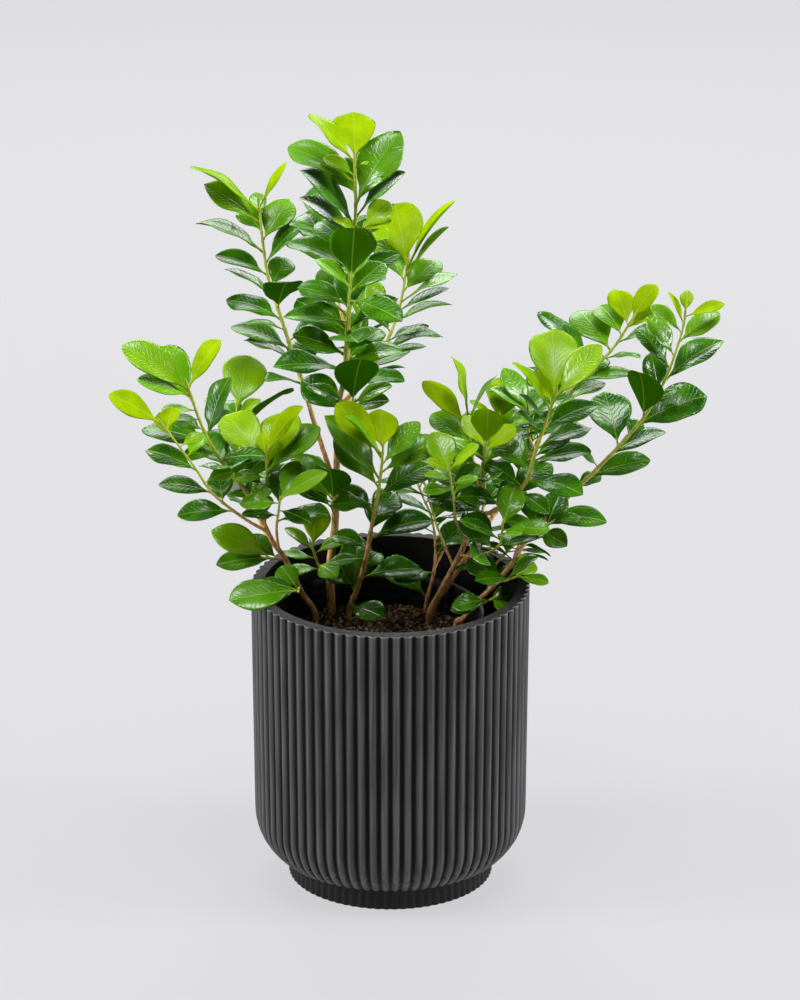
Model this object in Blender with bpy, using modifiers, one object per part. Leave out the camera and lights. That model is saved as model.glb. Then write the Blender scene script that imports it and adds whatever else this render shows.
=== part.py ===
"""A small ficus of several leafy stems, in a black nursery pot inside a fluted planter.

Metres, +Z up. The origin is the centre of the planter's foot, on the ground.
The front, as it is usually looked at, faces -Y.
"""
import itertools
import math
import random

import bpy
import bmesh
from mathutils import Matrix, Vector, noise
from mathutils.bvhtree import BVHTree

UP = Vector((0.0, 0.0, 1.0))
ORIGIN = Vector((0.0, 0.0, 0.0))
MERGE = 0.00001

# Planter: a fluted wall with a round lower edge, on a narrower fluted foot.
PLANTER_RADIUS = 0.140
PLANTER_HEIGHT = 0.313
PLANTER_LIP = 0.013
PLANTER_FLOOR = 0.042
LOWER_RADIUS = 0.1375
EDGE_ROUND = 0.059
EDGE_TOP = 0.072
EDGE_STEPS = 2
FOOT_RADIUS = 0.1035
FOOT_HEIGHT = 0.025
INNER_DRAFT = 0.004
INSIDE_STEPS = 40
POLE_EDGES = 100
FLUTES = 74
FLUTE_DEPTH = 0.0036
FOOT_FLUTE_DEPTH = 0.0014

# Nursery pot: a thin moulded pot that stands on the planter's inner floor.
GAP = 0.0003
POT_CENTRE = Vector((-0.015, 0.0, 0.0))
POT_TOP = 0.283
POT_LIP_RADIUS = 0.110
POT_LIP_DROP = 0.014
POT_TOP_RADIUS = 0.1058
POT_BASE_RADIUS = 0.084
POT_WALL = 0.0018
POT_STEPS = 32
DRAIN_RADIUS = 0.006
DRAIN_REACH = 0.006
DRAIN_RING = 0.055
DRAIN_HOLES = 4

# Potting mix: it fills the nursery pot, with a low uneven top.
SOIL_TOP = 0.250
SOIL_BUMP = 0.003
SOIL_GRAIN = 55.0
SOIL_RINGS = 4
ROOT_END = 0.205
ROOT_HOLE_GAP = 0.0006
ROOT_HOLE_TOP = 0.02
ROOT_RISE = 0.006
HOLE_SIDES = 6
FLAT_ANGLES = (0.3, 0.25, 0.2, 0.15, 0.1, 0.05)
SHORT_EDGES = (0.00004, 0.00002, 0.00001)

# Leaves: a short stalk and a blade that is widest past its middle.
LEAF_GREEN = (0.06, 0.20, 0.02)
GOLDEN_ANGLE = 137.5
LEAF_GROWTH = 1.12
STALK_SHARE = 0.15
BLADE_RISE = 1.0
BLADE_FALL = 0.74
BLADE_THICK = 0.0014
STALK_THICK = 0.0011
FOLD = math.radians(19.0)
LIGHT = Vector((0.1, -0.80, 0.60)).normalized()
TURN_TO_LIGHT = 18.0
LEAF_CLEARANCE = 0.0007
STEM_CLEARANCE = 0.0006
RIM_CLEARANCE = 0.0015
GUARD_SIDES = 6
GUARD_STEPS = 48
GUARD_SWELL = 1.12
NEAR_LEAVES = 0.01
TIP_GAPS = (0.35, 0.5, 0.65, 0.8, 0.9)
TURNS = ((0, 0), (10, 0), (-10, 0), (0, 10), (0, -10), (20, 0), (-20, 0), (15, 12), (-15, 12), (15, -12),
         (-15, -12), (30, 5), (-30, 5), (40, 0), (-40, 0), (35, 18), (-35, 18), (55, 5), (-55, 5))
SHRINKS = (1.0, 0.86)


class Shoot:
    """One shoot: its route from base to tip, its thickness, and how its leaves stand on it.

    tip_leaves lists the leaves that show plainly, from the tip down, each by the bearing that it
    points to seen from above (0 is +X, 90 is +Y), its lift over the horizontal and its length, and
    for some also by how far it turns its face to the front. Below them the leaves go on in a
    spiral, down to the end of the leafy length. ripe is the age of the leaves at the tip.
    """

    def __init__(self, route, thick, leafy, gap, size, tip_leaves, lift=38.0, ripe=0.0, rooted=False):
        self.route = [Vector(point) for point in route]
        self.thick = thick
        self.leafy = leafy
        self.gap = gap
        self.size = size
        self.tip_leaves = tip_leaves
        self.lift = lift
        self.ripe = ripe
        if rooted:
            base = self.route[0]
            self.route[:1] = [Vector((base.x, base.y, height)) for height in (ROOT_END, SOIL_TOP + ROOT_RISE)]
        self.rooted = rooted


STEMS = {
    "left_stem": (
        Shoot(((-0.076, 0.053, 0), (-0.090, 0.047, 0.284), (-0.106, 0.035, 0.325), (-0.119, 0.025, 0.350),
               (-0.133, 0.010, 0.388), (-0.146, -0.010, 0.419), (-0.168, -0.035, 0.459),
               (-0.185, -0.060, 0.504), (-0.199, -0.080, 0.557)),
              (0.0074, 0.0024), 0.198, 0.0135, 0.055,
              ((20, 55, 0.050, 5), (173, 34, 0.071), (200, 24, 0.053), (136, 40, 0.063, 35), (200, 10, 0.032),
               (215, 12, 0.030), (160, 12, 0.032), (28, 68, 0.058, 5), (162, 7, 0.066, 15), (195, 0, 0.030),
               (350, 10, 0.040), (120, 20, 0.050)),
              rooted=True),
        Shoot(((-0.124, 0.018, 0.362), (-0.148, -0.010, 0.389), (-0.176, -0.050, 0.430),
               (-0.194, -0.085, 0.474), (-0.224, -0.118, 0.532)),
              (0.0036, 0.0018), 0.186, 0.0245, 0.054,
              ((178, 31, 0.054), (80, 30, 0.026), (120, 30, 0.028), (20, 20, 0.024), (60, 20, 0.030),
               (165, 17, 0.049, 25), (30, 10, 0.028), (186, 12, 0.049), (100, 25, 0.034),
               (182, -4, 0.050, 20))),
        Shoot(((-0.112, 0.030, 0.336), (-0.114, 0.010, 0.367), (-0.111, -0.025, 0.402),
               (-0.109, -0.055, 0.427)),
              (0.0032, 0.0018), 0.080, 0.015, 0.046,
              ((5, 30, 0.048, 0), (62, 31, 0.044), (195, 5, 0.036), (120, 30, 0.038), (330, -10, 0.034),
               (200, 10, 0.034)), ripe=0.45),
        Shoot(((-0.136, 0.004, 0.396), (-0.146, 0.040, 0.415), (-0.153, 0.075, 0.440),
               (-0.155, 0.095, 0.468)),
              (0.0034, 0.0018), 0.098, 0.013, 0.052,
              ((80, 30, 0.064, 45), (160, 20, 0.034), (40, 30, 0.030), (110, 20, 0.040), (12, 42, 0.067),
               (150, 10, 0.040), (330, 25, 0.045)), ripe=0.2),
        Shoot(((-0.126, 0.017, 0.368), (-0.124, 0.0, 0.409), (-0.123, -0.025, 0.440),
               (-0.123, -0.040, 0.473)),
              (0.0032, 0.0018), 0.100, 0.012, 0.050,
              ((18, 50, 0.052, 5), (100, 40, 0.024), (143, 36, 0.064, 45), (72, 38, 0.058, 10),
               (28, 42, 0.062, 25), (184, 0, 0.028), (270, 8, 0.026), (150, 25, 0.050), (60, 20, 0.046))),
        Shoot(((-0.104, 0.037, 0.321), (-0.128, 0.075, 0.340), (-0.146, 0.115, 0.376)),
              (0.0032, 0.0018), 0.052, 0.015, 0.050,
              ((100, 40, 0.052), (180, 30, 0.052)), ripe=0.5),
        Shoot(((-0.106, 0.035, 0.324), (-0.114, 0.026, 0.329), (-0.124, 0.016, 0.334)),
              (0.0028, 0.0018), 0.022, 0.012, 0.045,
              ((172, 24, 0.058), (193, -2, 0.052, 10), (150, 30, 0.034)), ripe=0.45),
        Shoot(((-0.091, 0.046, 0.288), (-0.092, 0.010, 0.304), (-0.092, -0.036, 0.319)),
              (0.0028, 0.0018), 0.030, 0.011, 0.034,
              ((200, -10, 0.064, 5), (190, 15, 0.034), (120, 20, 0.034), (250, 0, 0.030)), ripe=0.5),
    ),
    "centre_stem": (
        Shoot(((-0.060, 0.074, 0), (-0.061, 0.078, 0.300), (-0.056, 0.080, 0.345), (-0.054, 0.076, 0.413),
               (-0.051, 0.065, 0.483), (-0.045, 0.060, 0.514), (-0.042, 0.050, 0.573),
               (-0.036, 0.045, 0.641), (-0.034, 0.040, 0.701), (-0.035, 0.030, 0.757)),
              (0.0094, 0.0024), 0.262, 0.0125, 0.056,
              ((92, 28, 0.057), (165, 45, 0.058, 0), (300, 25, 0.024), (150, 20, 0.034), (167, 31, 0.070),
               (115, 25, 0.046, 30), (32, 52, 0.075, 60), (0, 44, 0.060), (182, 49, 0.074), (176, 38, 0.062),
               (130, 16, 0.052, 35), (60, 35, 0.050), (162, 19, 0.066), (20, 25, 0.050), (320, 30, 0.046)),
              rooted=True),
        Shoot(((-0.055, 0.078, 0.385), (-0.070, 0.084, 0.432), (-0.078, 0.095, 0.454),
               (-0.086, 0.105, 0.480), (-0.094, 0.115, 0.502), (-0.106, 0.125, 0.538),
               (-0.122, 0.140, 0.586), (-0.128, 0.145, 0.623), (-0.132, 0.150, 0.666)),
              (0.0056, 0.0022), 0.196, 0.0115, 0.052,
              ((10, 58, 0.047, 10), (181, 35, 0.074), (100, 40, 0.026), (166, 33, 0.061, 35),
               (118, 20, 0.040),
               (56, 32, 0.050, 30), (172, 22, 0.066), (17, 52, 0.056), (160, 14, 0.052), (67, 22, 0.040, 30),
               (172, 28, 0.050), (285, 45, 0.056), (158, 12, 0.055), (185, 12, 0.036), (40, 10, 0.044),
               (162, 16, 0.060), (172, 22, 0.050, 0), (95, 28, 0.044, 30))),
        Shoot(((-0.051, 0.066, 0.480), (-0.046, 0.035, 0.530), (-0.042, -0.005, 0.600),
               (-0.038, -0.035, 0.653)),
              (0.0042, 0.0020), 0.138, 0.012, 0.052,
              ((277, 65, 0.064), (86, 38, 0.050), (150, 30, 0.040), (45, 22, 0.046), (326, -8, 0.056),
               (165, 16, 0.048), (60, 25, 0.050), (188, 8, 0.056), (155, 15, 0.048)), ripe=0.3),
        Shoot(((-0.051, 0.066, 0.478), (-0.028, 0.080, 0.500), (-0.004, 0.105, 0.531),
               (0.010, 0.125, 0.565), (0.018, 0.140, 0.607)),
              (0.0046, 0.0020), 0.150, 0.011, 0.052,
              ((101, 34, 0.068, 25), (0, 56, 0.077), (0, 60, 0.059, 0), (118, 32, 0.054), (47, 19, 0.050, 40),
               (12, 27, 0.056), (12, 22, 0.049), (10, 14, 0.054), (125, 25, 0.046), (15, 16, 0.040),
               (10, 10, 0.056), (12, 12, 0.046), (165, 20, 0.046), (20, 14, 0.038))),
        Shoot(((-0.052, 0.068, 0.470), (-0.044, 0.030, 0.486), (-0.036, 0.008, 0.506)),
              (0.0030, 0.0018), 0.046, 0.012, 0.044,
              ((285, 60, 0.060), (340, 30, 0.044), (190, 30, 0.044)), ripe=0.5),
        Shoot(((-0.054, 0.076, 0.416), (-0.045, 0.120, 0.440), (-0.038, 0.160, 0.472),
               (-0.030, 0.185, 0.522)),
              (0.0038, 0.0018), 0.070, 0.015, 0.052,
              ((80, 45, 0.058), (190, 35, 0.052), (320, 35, 0.050)), ripe=0.4),
        Shoot(((-0.043, 0.052, 0.560), (-0.055, 0.095, 0.595), (-0.060, 0.125, 0.648)),
              (0.0032, 0.0018), 0.062, 0.0135, 0.050,
              ((110, 40, 0.050), (210, 25, 0.046), (350, 40, 0.048)), ripe=0.5),
        Shoot(((-0.061, 0.077, 0.292), (-0.071, 0.062, 0.304), (-0.080, 0.050, 0.336)),
              (0.0028, 0.0018), 0.040, 0.010, 0.036,
              ((62, 42, 0.044), (165, 35, 0.032), (20, 20, 0.032), (180, 8, 0.032), (300, 0, 0.034),
               (190, -4, 0.034))),
        Shoot(((-0.036, 0.044, 0.648), (-0.031, 0.030, 0.668), (-0.026, 0.016, 0.688)),
              (0.0026, 0.0018), 0.026, 0.012, 0.040,
              ((82, 28, 0.036, 30), (20, 15, 0.028), (170, 30, 0.028))),
        Shoot(((-0.055, 0.079, 0.352), (-0.059, 0.056, 0.374), (-0.057, 0.035, 0.390)),
              (0.0030, 0.0018), 0.040, 0.012, 0.044,
              ((138, 34, 0.056, 35), (264, 54, 0.054), (160, 20, 0.046), (20, 15, 0.034)), ripe=0.6),
    ),
    "front_stem": (
        Shoot(((-0.042, 0.058, 0), (-0.034, 0.048, 0.286), (-0.025, 0.030, 0.325), (-0.019, 0.010, 0.369),
               (-0.014, -0.010, 0.403), (-0.010, -0.030, 0.437), (-0.007, -0.055, 0.480)),
              (0.0066, 0.0022), 0.262, 0.0135, 0.050,
              ((92, 30, 0.047), (143, 42, 0.060, 35), (192, 51, 0.062), (27, 42, 0.050), (22, 22, 0.061, 30),
               (158, 45, 0.074), (148, 40, 0.060), (28, 20, 0.060, 25), (172, -4, 0.042, 25),
               (150, 25, 0.042), (60, 20, 0.044), (75, 20, 0.046), (15, 22, 0.060, 5), (150, 8, 0.038, 30),
               (190, -3, 0.034), (60, 10, 0.030), (14, 12, 0.058, 30), (180, 20, 0.034),
               (140, 50, 0.058, 30), (311, 4, 0.046, 50)),
              rooted=True),
    ),
    "right_stem": (
        Shoot(((0.039, 0.048, 0), (0.050, 0.044, 0.284), (0.071, 0.030, 0.334), (0.085, 0.015, 0.376),
               (0.102, 0.006, 0.388), (0.120, 0.0, 0.404), (0.136, -0.015, 0.430),
               (0.142, -0.030, 0.459), (0.150, -0.045, 0.492), (0.163, -0.060, 0.540)),
              (0.0076, 0.0022), 0.200, 0.0115, 0.050,
              ((91, 38, 0.069, 25), (15, 47, 0.063), (108, 25, 0.042, 30), (150, 48, 0.054, 5),
               (335, 37, 0.047),
               (195, 50, 0.038), (20, 20, 0.054), (205, 55, 0.038), (12, 18, 0.052, 5), (5, 28, 0.037),
               (0, 14, 0.054), (132, 28, 0.050, 30), (328, -1, 0.058, 25), (150, 20, 0.044),
               (325, -20, 0.036, 25),
               (40, 25, 0.052, 20), (190, 20, 0.050), (60, 10, 0.046)),
              rooted=True),
        Shoot(((0.084, 0.016, 0.372), (0.090, 0.010, 0.402), (0.092, -0.005, 0.436), (0.095, -0.022, 0.474)),
              (0.0036, 0.0018), 0.090, 0.013, 0.050,
              ((275, 60, 0.050), (130, 40, 0.036), (30, 30, 0.036), (200, 30, 0.044), (60, 25, 0.048))),
        Shoot(((0.076, 0.025, 0.350), (0.066, 0.0, 0.380), (0.063, -0.030, 0.415), (0.058, -0.060, 0.462)),
              (0.0030, 0.0016), 0.055, 0.010, 0.034,
              ((350, 45, 0.036), (190, 32, 0.024), (100, 30, 0.044, 20), (185, 10, 0.024), (0, 15, 0.024),
               (200, 5, 0.028), (40, 35, 0.038))),
        Shoot(((0.086, 0.014, 0.378), (0.088, 0.030, 0.402), (0.082, 0.035, 0.438), (0.077, 0.040, 0.484)),
              (0.0034, 0.0018), 0.094, 0.013, 0.052,
              ((170, 75, 0.056, 12), (10, 58, 0.047, 0), (160, 40, 0.056), (70, 20, 0.034),
               (135, 18, 0.051, 30),
               (100, 25, 0.050), (220, 25, 0.048))),
        Shoot(((0.088, 0.027, 0.399), (0.098, 0.045, 0.420), (0.106, 0.052, 0.443), (0.109, 0.052, 0.470)),
              (0.0028, 0.0018), 0.060, 0.012, 0.050,
              ((80, 26, 0.054, 45), (200, 35, 0.036), (330, 25, 0.040), (60, 20, 0.044)), ripe=0.3),
        Shoot(((0.070, 0.031, 0.331), (0.088, -0.005, 0.345), (0.108, -0.030, 0.366), (0.112, -0.045, 0.396)),
              (0.0030, 0.0018), 0.062, 0.013, 0.044,
              ((60, 40, 0.044), (350, 5, 0.042), (300, 20, 0.036), (190, 30, 0.042)), ripe=0.55),
        Shoot(((0.064, 0.036, 0.316), (0.048, 0.070, 0.345), (0.034, 0.100, 0.385)),
              (0.0030, 0.0018), 0.060, 0.014, 0.046,
              ((140, 30, 0.046), (60, 20, 0.050), (200, 10, 0.044), (30, 10, 0.050)), ripe=0.7),
    ),
    "back_right_stem": (
        Shoot(((0.044, 0.066, 0), (0.056, 0.068, 0.279), (0.069, 0.068, 0.301), (0.086, 0.072, 0.325),
               (0.103, 0.086, 0.350), (0.124, 0.100, 0.372), (0.146, 0.112, 0.414),
               (0.168, 0.126, 0.455), (0.191, 0.136, 0.479), (0.212, 0.143, 0.496), (0.228, 0.149, 0.512),
               (0.246, 0.150, 0.542)),
              (0.0070, 0.0022), 0.245, 0.0120, 0.052,
              ((35, 45, 0.041), (106, 30, 0.042), (15, 30, 0.034), (115, 17, 0.046), (8, 14, 0.046),
               (118, 28, 0.062, 45), (350, 10, 0.036), (158, 42, 0.070, 5), (60, 20, 0.036),
               (12, 12, 0.055, 30),
               (150, 20, 0.044), (30, 10, 0.048), (110, 25, 0.050), (350, 16, 0.044), (280, 20, 0.046)),
              rooted=True),
        Shoot(((0.126, 0.101, 0.375), (0.140, 0.145, 0.388), (0.150, 0.180, 0.425)),
              (0.0034, 0.0018), 0.058, 0.015, 0.050,
              ((100, 40, 0.044), (10, 5, 0.040), (180, 35, 0.044)), ripe=0.5),
        Shoot(((0.086, 0.072, 0.326), (0.094, 0.115, 0.345), (0.098, 0.150, 0.385)),
              (0.0034, 0.0018), 0.058, 0.015, 0.050,
              ((90, 40, 0.054), (190, 30, 0.050), (0, 35, 0.046)), ripe=0.6),
        Shoot(((0.146, 0.112, 0.414), (0.140, 0.085, 0.440), (0.138, 0.062, 0.478)),
              (0.0030, 0.0018), 0.055, 0.013, 0.048,
              ((140, 50, 0.044), (170, 35, 0.042), (340, 30, 0.048)), ripe=0.5),
    ),
    "long_right_stem": (
        Shoot(((0.066, 0.026, 0), (0.074, 0.018, 0.268), (0.088, 0.008, 0.290), (0.098, 0.005, 0.302),
               (0.107, 0.004, 0.313), (0.123, 0.006, 0.334), (0.142, 0.010, 0.365), (0.156, 0.010, 0.380),
               (0.186, 0.005, 0.413), (0.220, -0.010, 0.456), (0.250, -0.025, 0.499),
               (0.263, -0.030, 0.525), (0.275, -0.035, 0.554), (0.287, -0.045, 0.600),
               (0.290, -0.050, 0.626)),
              (0.0062, 0.0020), 0.318, 0.0165, 0.050,
              ((80, 62, 0.020, 0), (5, 17, 0.036), (160, 62, 0.032, 0), (165, 38, 0.036), (15, 32, 0.044, 30),
               (152, 50, 0.042), (148, 42, 0.046), (15, 31, 0.063), (112, 60, 0.037, 20), (30, 20, 0.026),
               (268, 64, 0.058), (14, 20, 0.070, 25), (60, 20, 0.026), (105, 38, 0.058, 40),
               (8, 22, 0.054, 5),
               (215, 45, 0.032), (8, 14, 0.058, 15), (345, 8, 0.030), (120, 15, 0.040), (200, 30, 0.034),
               (350, 4, 0.060, 30)),
              rooted=True),
        Shoot(((0.107, 0.004, 0.313), (0.118, -0.008, 0.320), (0.129, -0.020, 0.330)),
              (0.0030, 0.0018), 0.040, 0.010, 0.036,
              ((345, -5, 0.030), (60, 10, 0.034), (200, 5, 0.034)), ripe=0.35),
        Shoot(((0.123, 0.006, 0.334), (0.130, 0.034, 0.342), (0.142, 0.055, 0.353)),
              (0.0030, 0.0018), 0.062, 0.009, 0.040,
              ((345, -5, 0.030), (60, 5, 0.034), (200, 15, 0.036), (10, -8, 0.034), (330, -10, 0.032),
               (180, 5, 0.036), (20, -8, 0.034)), ripe=0.7),
        Shoot(((0.144, 0.010, 0.367), (0.150, -0.012, 0.374), (0.160, -0.024, 0.388)),
              (0.0030, 0.0018), 0.050, 0.011, 0.038,
              ((350, 15, 0.030), (60, 30, 0.038), (200, 20, 0.038), (300, 5, 0.034)), ripe=0.6),
        Shoot(((0.098, 0.005, 0.303), (0.106, 0.036, 0.318), (0.122, 0.052, 0.330)),
              (0.0028, 0.0018), 0.056, 0.010, 0.038,
              ((350, 2, 0.036), (60, 10, 0.036), (200, 20, 0.034), (350, -8, 0.034), (190, 0, 0.036)),
              ripe=0.75),
        Shoot(((0.084, 0.011, 0.285), (0.094, -0.006, 0.294), (0.104, -0.020, 0.306)),
              (0.0026, 0.0016), 0.034, 0.009, 0.034,
              ((350, -12, 0.030), (190, -8, 0.034), (60, 5, 0.032), (220, -5, 0.032)), ripe=0.7),
    ),
    "rear_twig": (
        Shoot(((0.036, 0.074, 0), (0.044, 0.079, 0.292), (0.046, 0.098, 0.315), (0.042, 0.120, 0.336),
               (0.034, 0.132, 0.352), (0.026, 0.142, 0.370)),
              (0.0044, 0.0018), 0.135, 0.0135, 0.048,
              ((145, 50, 0.040, 0), (60, 30, 0.042), (170, 12, 0.044), (20, 20, 0.044), (150, 8, 0.040),
               (60, 30, 0.046), (165, 10, 0.040)),
              ripe=0.6, rooted=True),
        Shoot(((0.044, 0.081, 0.294), (0.062, 0.112, 0.324), (0.072, 0.152, 0.356)),
              (0.0030, 0.0018), 0.050, 0.015, 0.048,
              ((120, 40, 0.046), (340, 30, 0.046)), ripe=0.7),
    ),
}


def remove_all():
    """Empty the scene, so that the script gives the same result each time."""
    for old in list(bpy.data.objects):
        bpy.data.objects.remove(old, do_unlink=True)


def collection(name):
    """A new collection in the scene."""
    group = bpy.data.collections.new(name)
    bpy.context.scene.collection.children.link(group)
    return group


def material(name, colour, roughness):
    """A plain Principled material."""
    made = bpy.data.materials.new(name)
    made.use_nodes = True
    shader = made.node_tree.nodes["Principled BSDF"]
    shader.inputs["Base Color"].default_value = (*colour, 1.0)
    shader.inputs["Roughness"].default_value = roughness
    shader.inputs["Metallic"].default_value = 0.0
    return made


def add_object(name, mesh, group, finish=None):
    """An object for a mesh, in its collection, with its material."""
    made = bpy.data.objects.new(name, mesh)
    group.objects.link(made)
    if finish is not None:
        mesh.materials.clear()
        mesh.materials.append(finish)
    return made


def evaluated_mesh(thing):
    """The object's mesh with its modifiers."""
    bpy.context.view_layer.update()
    depsgraph = bpy.context.evaluated_depsgraph_get()
    return bpy.data.meshes.new_from_object(thing.evaluated_get(depsgraph))


def welded_mesh(thing):
    """The object's evaluated mesh with its caps and seams welded, and each fan of many faces made one."""
    mesh = evaluated_mesh(thing)
    body = bmesh.new()
    body.from_mesh(mesh)
    bmesh.ops.remove_doubles(body, verts=body.verts, dist=MERGE)
    poles = [vertex for vertex in body.verts if len(vertex.link_edges) > POLE_EDGES]
    bmesh.ops.dissolve_verts(body, verts=poles)
    body.to_mesh(mesh)
    body.free()
    return mesh


def turned_mesh(name, profile, steps):
    """A closed profile of (radius, height) points, turned round the Z axis."""
    outline = bpy.data.meshes.new(name)
    points = [(radius, 0.0, height) for radius, height in profile]
    outline.from_pydata(points, [(i, i + 1) for i in range(len(points) - 1)], [])
    blank = bpy.data.objects.new(name, outline)
    bpy.context.scene.collection.objects.link(blank)
    screw = blank.modifiers.new("turn", "SCREW")
    screw.axis = "Z"
    screw.steps = steps
    screw.render_steps = steps
    screw.use_merge_vertices = True
    screw.merge_threshold = MERGE
    mesh = welded_mesh(blank)
    bpy.data.objects.remove(blank, do_unlink=True)
    return mesh


def lower_edge():
    """The planter's outer outline from its rim down to the ground, as (radius, height) points."""
    points = [(PLANTER_RADIUS, PLANTER_HEIGHT)]
    reach = math.asin((EDGE_TOP - FOOT_HEIGHT) / EDGE_ROUND)
    for step in range(EDGE_STEPS + 1):
        angle = reach * step / EDGE_STEPS
        points.append((LOWER_RADIUS - EDGE_ROUND * (1.0 - math.cos(angle)),
                       EDGE_TOP - EDGE_ROUND * math.sin(angle)))
    points.append((FOOT_RADIUS, FOOT_HEIGHT))
    points.append((FOOT_RADIUS, 0.0))
    return points


def make_planter(group, cutters):
    """The planter: a turned body drawn in between its ridges, with its inside cut out."""
    outside = lower_edge()
    profile = [(0.0, PLANTER_HEIGHT)] + outside + [(0.0, 0.0)]
    mesh = turned_mesh("planter", profile, 2 * FLUTES)
    for vertex in mesh.vertices:
        radius = math.hypot(vertex.co.x, vertex.co.y)
        on_outside = any(abs(radius - r) < MERGE and abs(vertex.co.z - z) < MERGE for r, z in outside)
        if on_outside:
            turn = math.atan2(vertex.co.y, vertex.co.x)
            deep = FOOT_FLUTE_DEPTH if radius < FOOT_RADIUS + MERGE else FLUTE_DEPTH
            cut = deep * 0.5 * (1.0 - math.cos(FLUTES * turn))
            vertex.co.x *= (radius - cut) / radius
            vertex.co.y *= (radius - cut) / radius
    planter = add_object("planter", mesh, group, material("charcoal_planter", (0.045, 0.044, 0.046), 0.6))
    inner = PLANTER_RADIUS - PLANTER_LIP
    height = PLANTER_HEIGHT - PLANTER_FLOOR
    centre = Vector((0.0, 0.0, PLANTER_FLOOR + height))
    cut_away(planter, add_cutter("planter_inside", centre, inner + INNER_DRAFT, height, cutters, INSIDE_STEPS,
                                 inner - INNER_DRAFT))


def pot_inner_radius(height):
    """The nursery pot's inner radius at a height."""
    floor = PLANTER_FLOOR + GAP
    share = (height - floor) / (POT_TOP - floor)
    return POT_BASE_RADIUS + (POT_TOP_RADIUS - POT_BASE_RADIUS) * share - POT_WALL


def make_nursery_pot(group, cutters):
    """The nursery pot: a turned thin wall with a turned-out lip, drilled in its floor."""
    floor = PLANTER_FLOOR + GAP
    lip_bottom = POT_TOP - POT_LIP_DROP
    profile = [(0.0, floor + POT_WALL), (pot_inner_radius(floor + POT_WALL), floor + POT_WALL),
               (pot_inner_radius(POT_TOP), POT_TOP), (POT_LIP_RADIUS, POT_TOP),
               (POT_LIP_RADIUS, lip_bottom), (pot_inner_radius(lip_bottom) + POT_WALL, lip_bottom),
               (POT_BASE_RADIUS, floor), (0.0, floor)]
    mesh = turned_mesh("nursery_pot", profile, POT_STEPS)
    mesh.transform(Matrix.Translation(POT_CENTRE))
    pot = add_object("nursery_pot", mesh, group, material("black_plastic", (0.012, 0.012, 0.013), 0.5))
    for index in range(DRAIN_HOLES):
        turn = math.tau * (index + 0.5) / DRAIN_HOLES
        place = POT_CENTRE + Vector((DRAIN_RING * math.cos(turn), DRAIN_RING * math.sin(turn), floor))
        drill = add_cutter(f"drain_drill_{index}", place, DRAIN_RADIUS, DRAIN_REACH, cutters)
        cut_away(pot, drill)


def add_cutter(name, place, radius, half_height, cutters, sides=HOLE_SIDES, low_radius=None):
    """An upright round cutter, centred at a place."""
    drill = bmesh.new()
    bmesh.ops.create_cone(drill, cap_ends=True, segments=sides, radius1=low_radius or radius, radius2=radius,
                          depth=2.0 * half_height, matrix=Matrix.Translation(place))
    mesh = bpy.data.meshes.new(name)
    drill.to_mesh(mesh)
    drill.free()
    made = add_object(name, mesh, cutters)
    made.hide_render = True
    made.display_type = "WIRE"
    return made


def cut_away(thing, cutter):
    """Cut one object out of another."""
    cut = thing.modifiers.new("cut", "BOOLEAN")
    cut.operation = "DIFFERENCE"
    cut.solver = "EXACT"
    cut.object = cutter


def make_potting_mix(group, cutters):
    """The potting mix: a plug that fills the nursery pot, with a plain hole for each stem."""
    floor = PLANTER_FLOOR + POT_WALL + 2.0 * GAP
    top_radius = pot_inner_radius(SOIL_TOP) - GAP * 2.0
    profile = [(top_radius * ring / SOIL_RINGS, SOIL_TOP) for ring in range(SOIL_RINGS + 1)]
    profile += [(pot_inner_radius(floor) - GAP * 2.0, floor), (0.0, floor)]
    mesh = turned_mesh("potting_mix", profile, POT_STEPS)
    for vertex in mesh.vertices:
        radius = math.hypot(vertex.co.x, vertex.co.y)
        if abs(vertex.co.z - SOIL_TOP) < MERGE and radius < top_radius - MERGE:
            vertex.co.z += SOIL_BUMP * noise.noise(vertex.co * SOIL_GRAIN)
    mesh.transform(Matrix.Translation(POT_CENTRE))
    soil = add_object("potting_mix", mesh, group, material("potting_mix", (0.09, 0.055, 0.035), 0.95))
    for name, shoots in STEMS.items():
        base = shoots[0].route[0]
        half_depth = 0.5 * (SOIL_TOP + ROOT_HOLE_TOP - ROOT_END)
        place = Vector((base.x, base.y, ROOT_END - GAP + half_depth))
        radius = (0.5 * shoots[0].thick[0] + ROOT_HOLE_GAP) / math.cos(math.pi / HOLE_SIDES)
        cut_away(soil, add_cutter(f"{name}_hole", place, radius, half_depth, cutters))


def smooth_route(shoot, steps):
    """Points along the shoot, steps to each stretch, on a smooth curve through its route.

    The stretch under the soil stays straight, because it stands in a plain hole.
    """
    route = shoot.route
    points = []
    for index in range(len(route) - 1):
        start, end = route[index], route[index + 1]
        before = route[index - 1] if index > 0 else start * 2.0 - end
        after = route[index + 2] if index + 2 < len(route) else end * 2.0 - start
        for step in range(steps):
            t = step / steps
            if shoot.rooted and index == 0:
                points.append(start.lerp(end, t))
                continue
            points.append(0.5 * (2.0 * start + (end - before) * t
                                 + (2.0 * before - 5.0 * start + 4.0 * end - after) * t ** 2
                                 + (3.0 * start - before - 3.0 * end + after) * t ** 3))
    points.append(route[-1].copy())
    return points


def radii(shoot, points):
    """The shoot's radius at each of its points, thinning evenly from base to tip."""
    reach = [0.0]
    for start, end in zip(points, points[1:]):
        reach.append(reach[-1] + (end - start).length)
    thick, thin = shoot.thick
    return [0.5 * (thick + (thin - thick) * run / reach[-1]) for run in reach]


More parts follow.
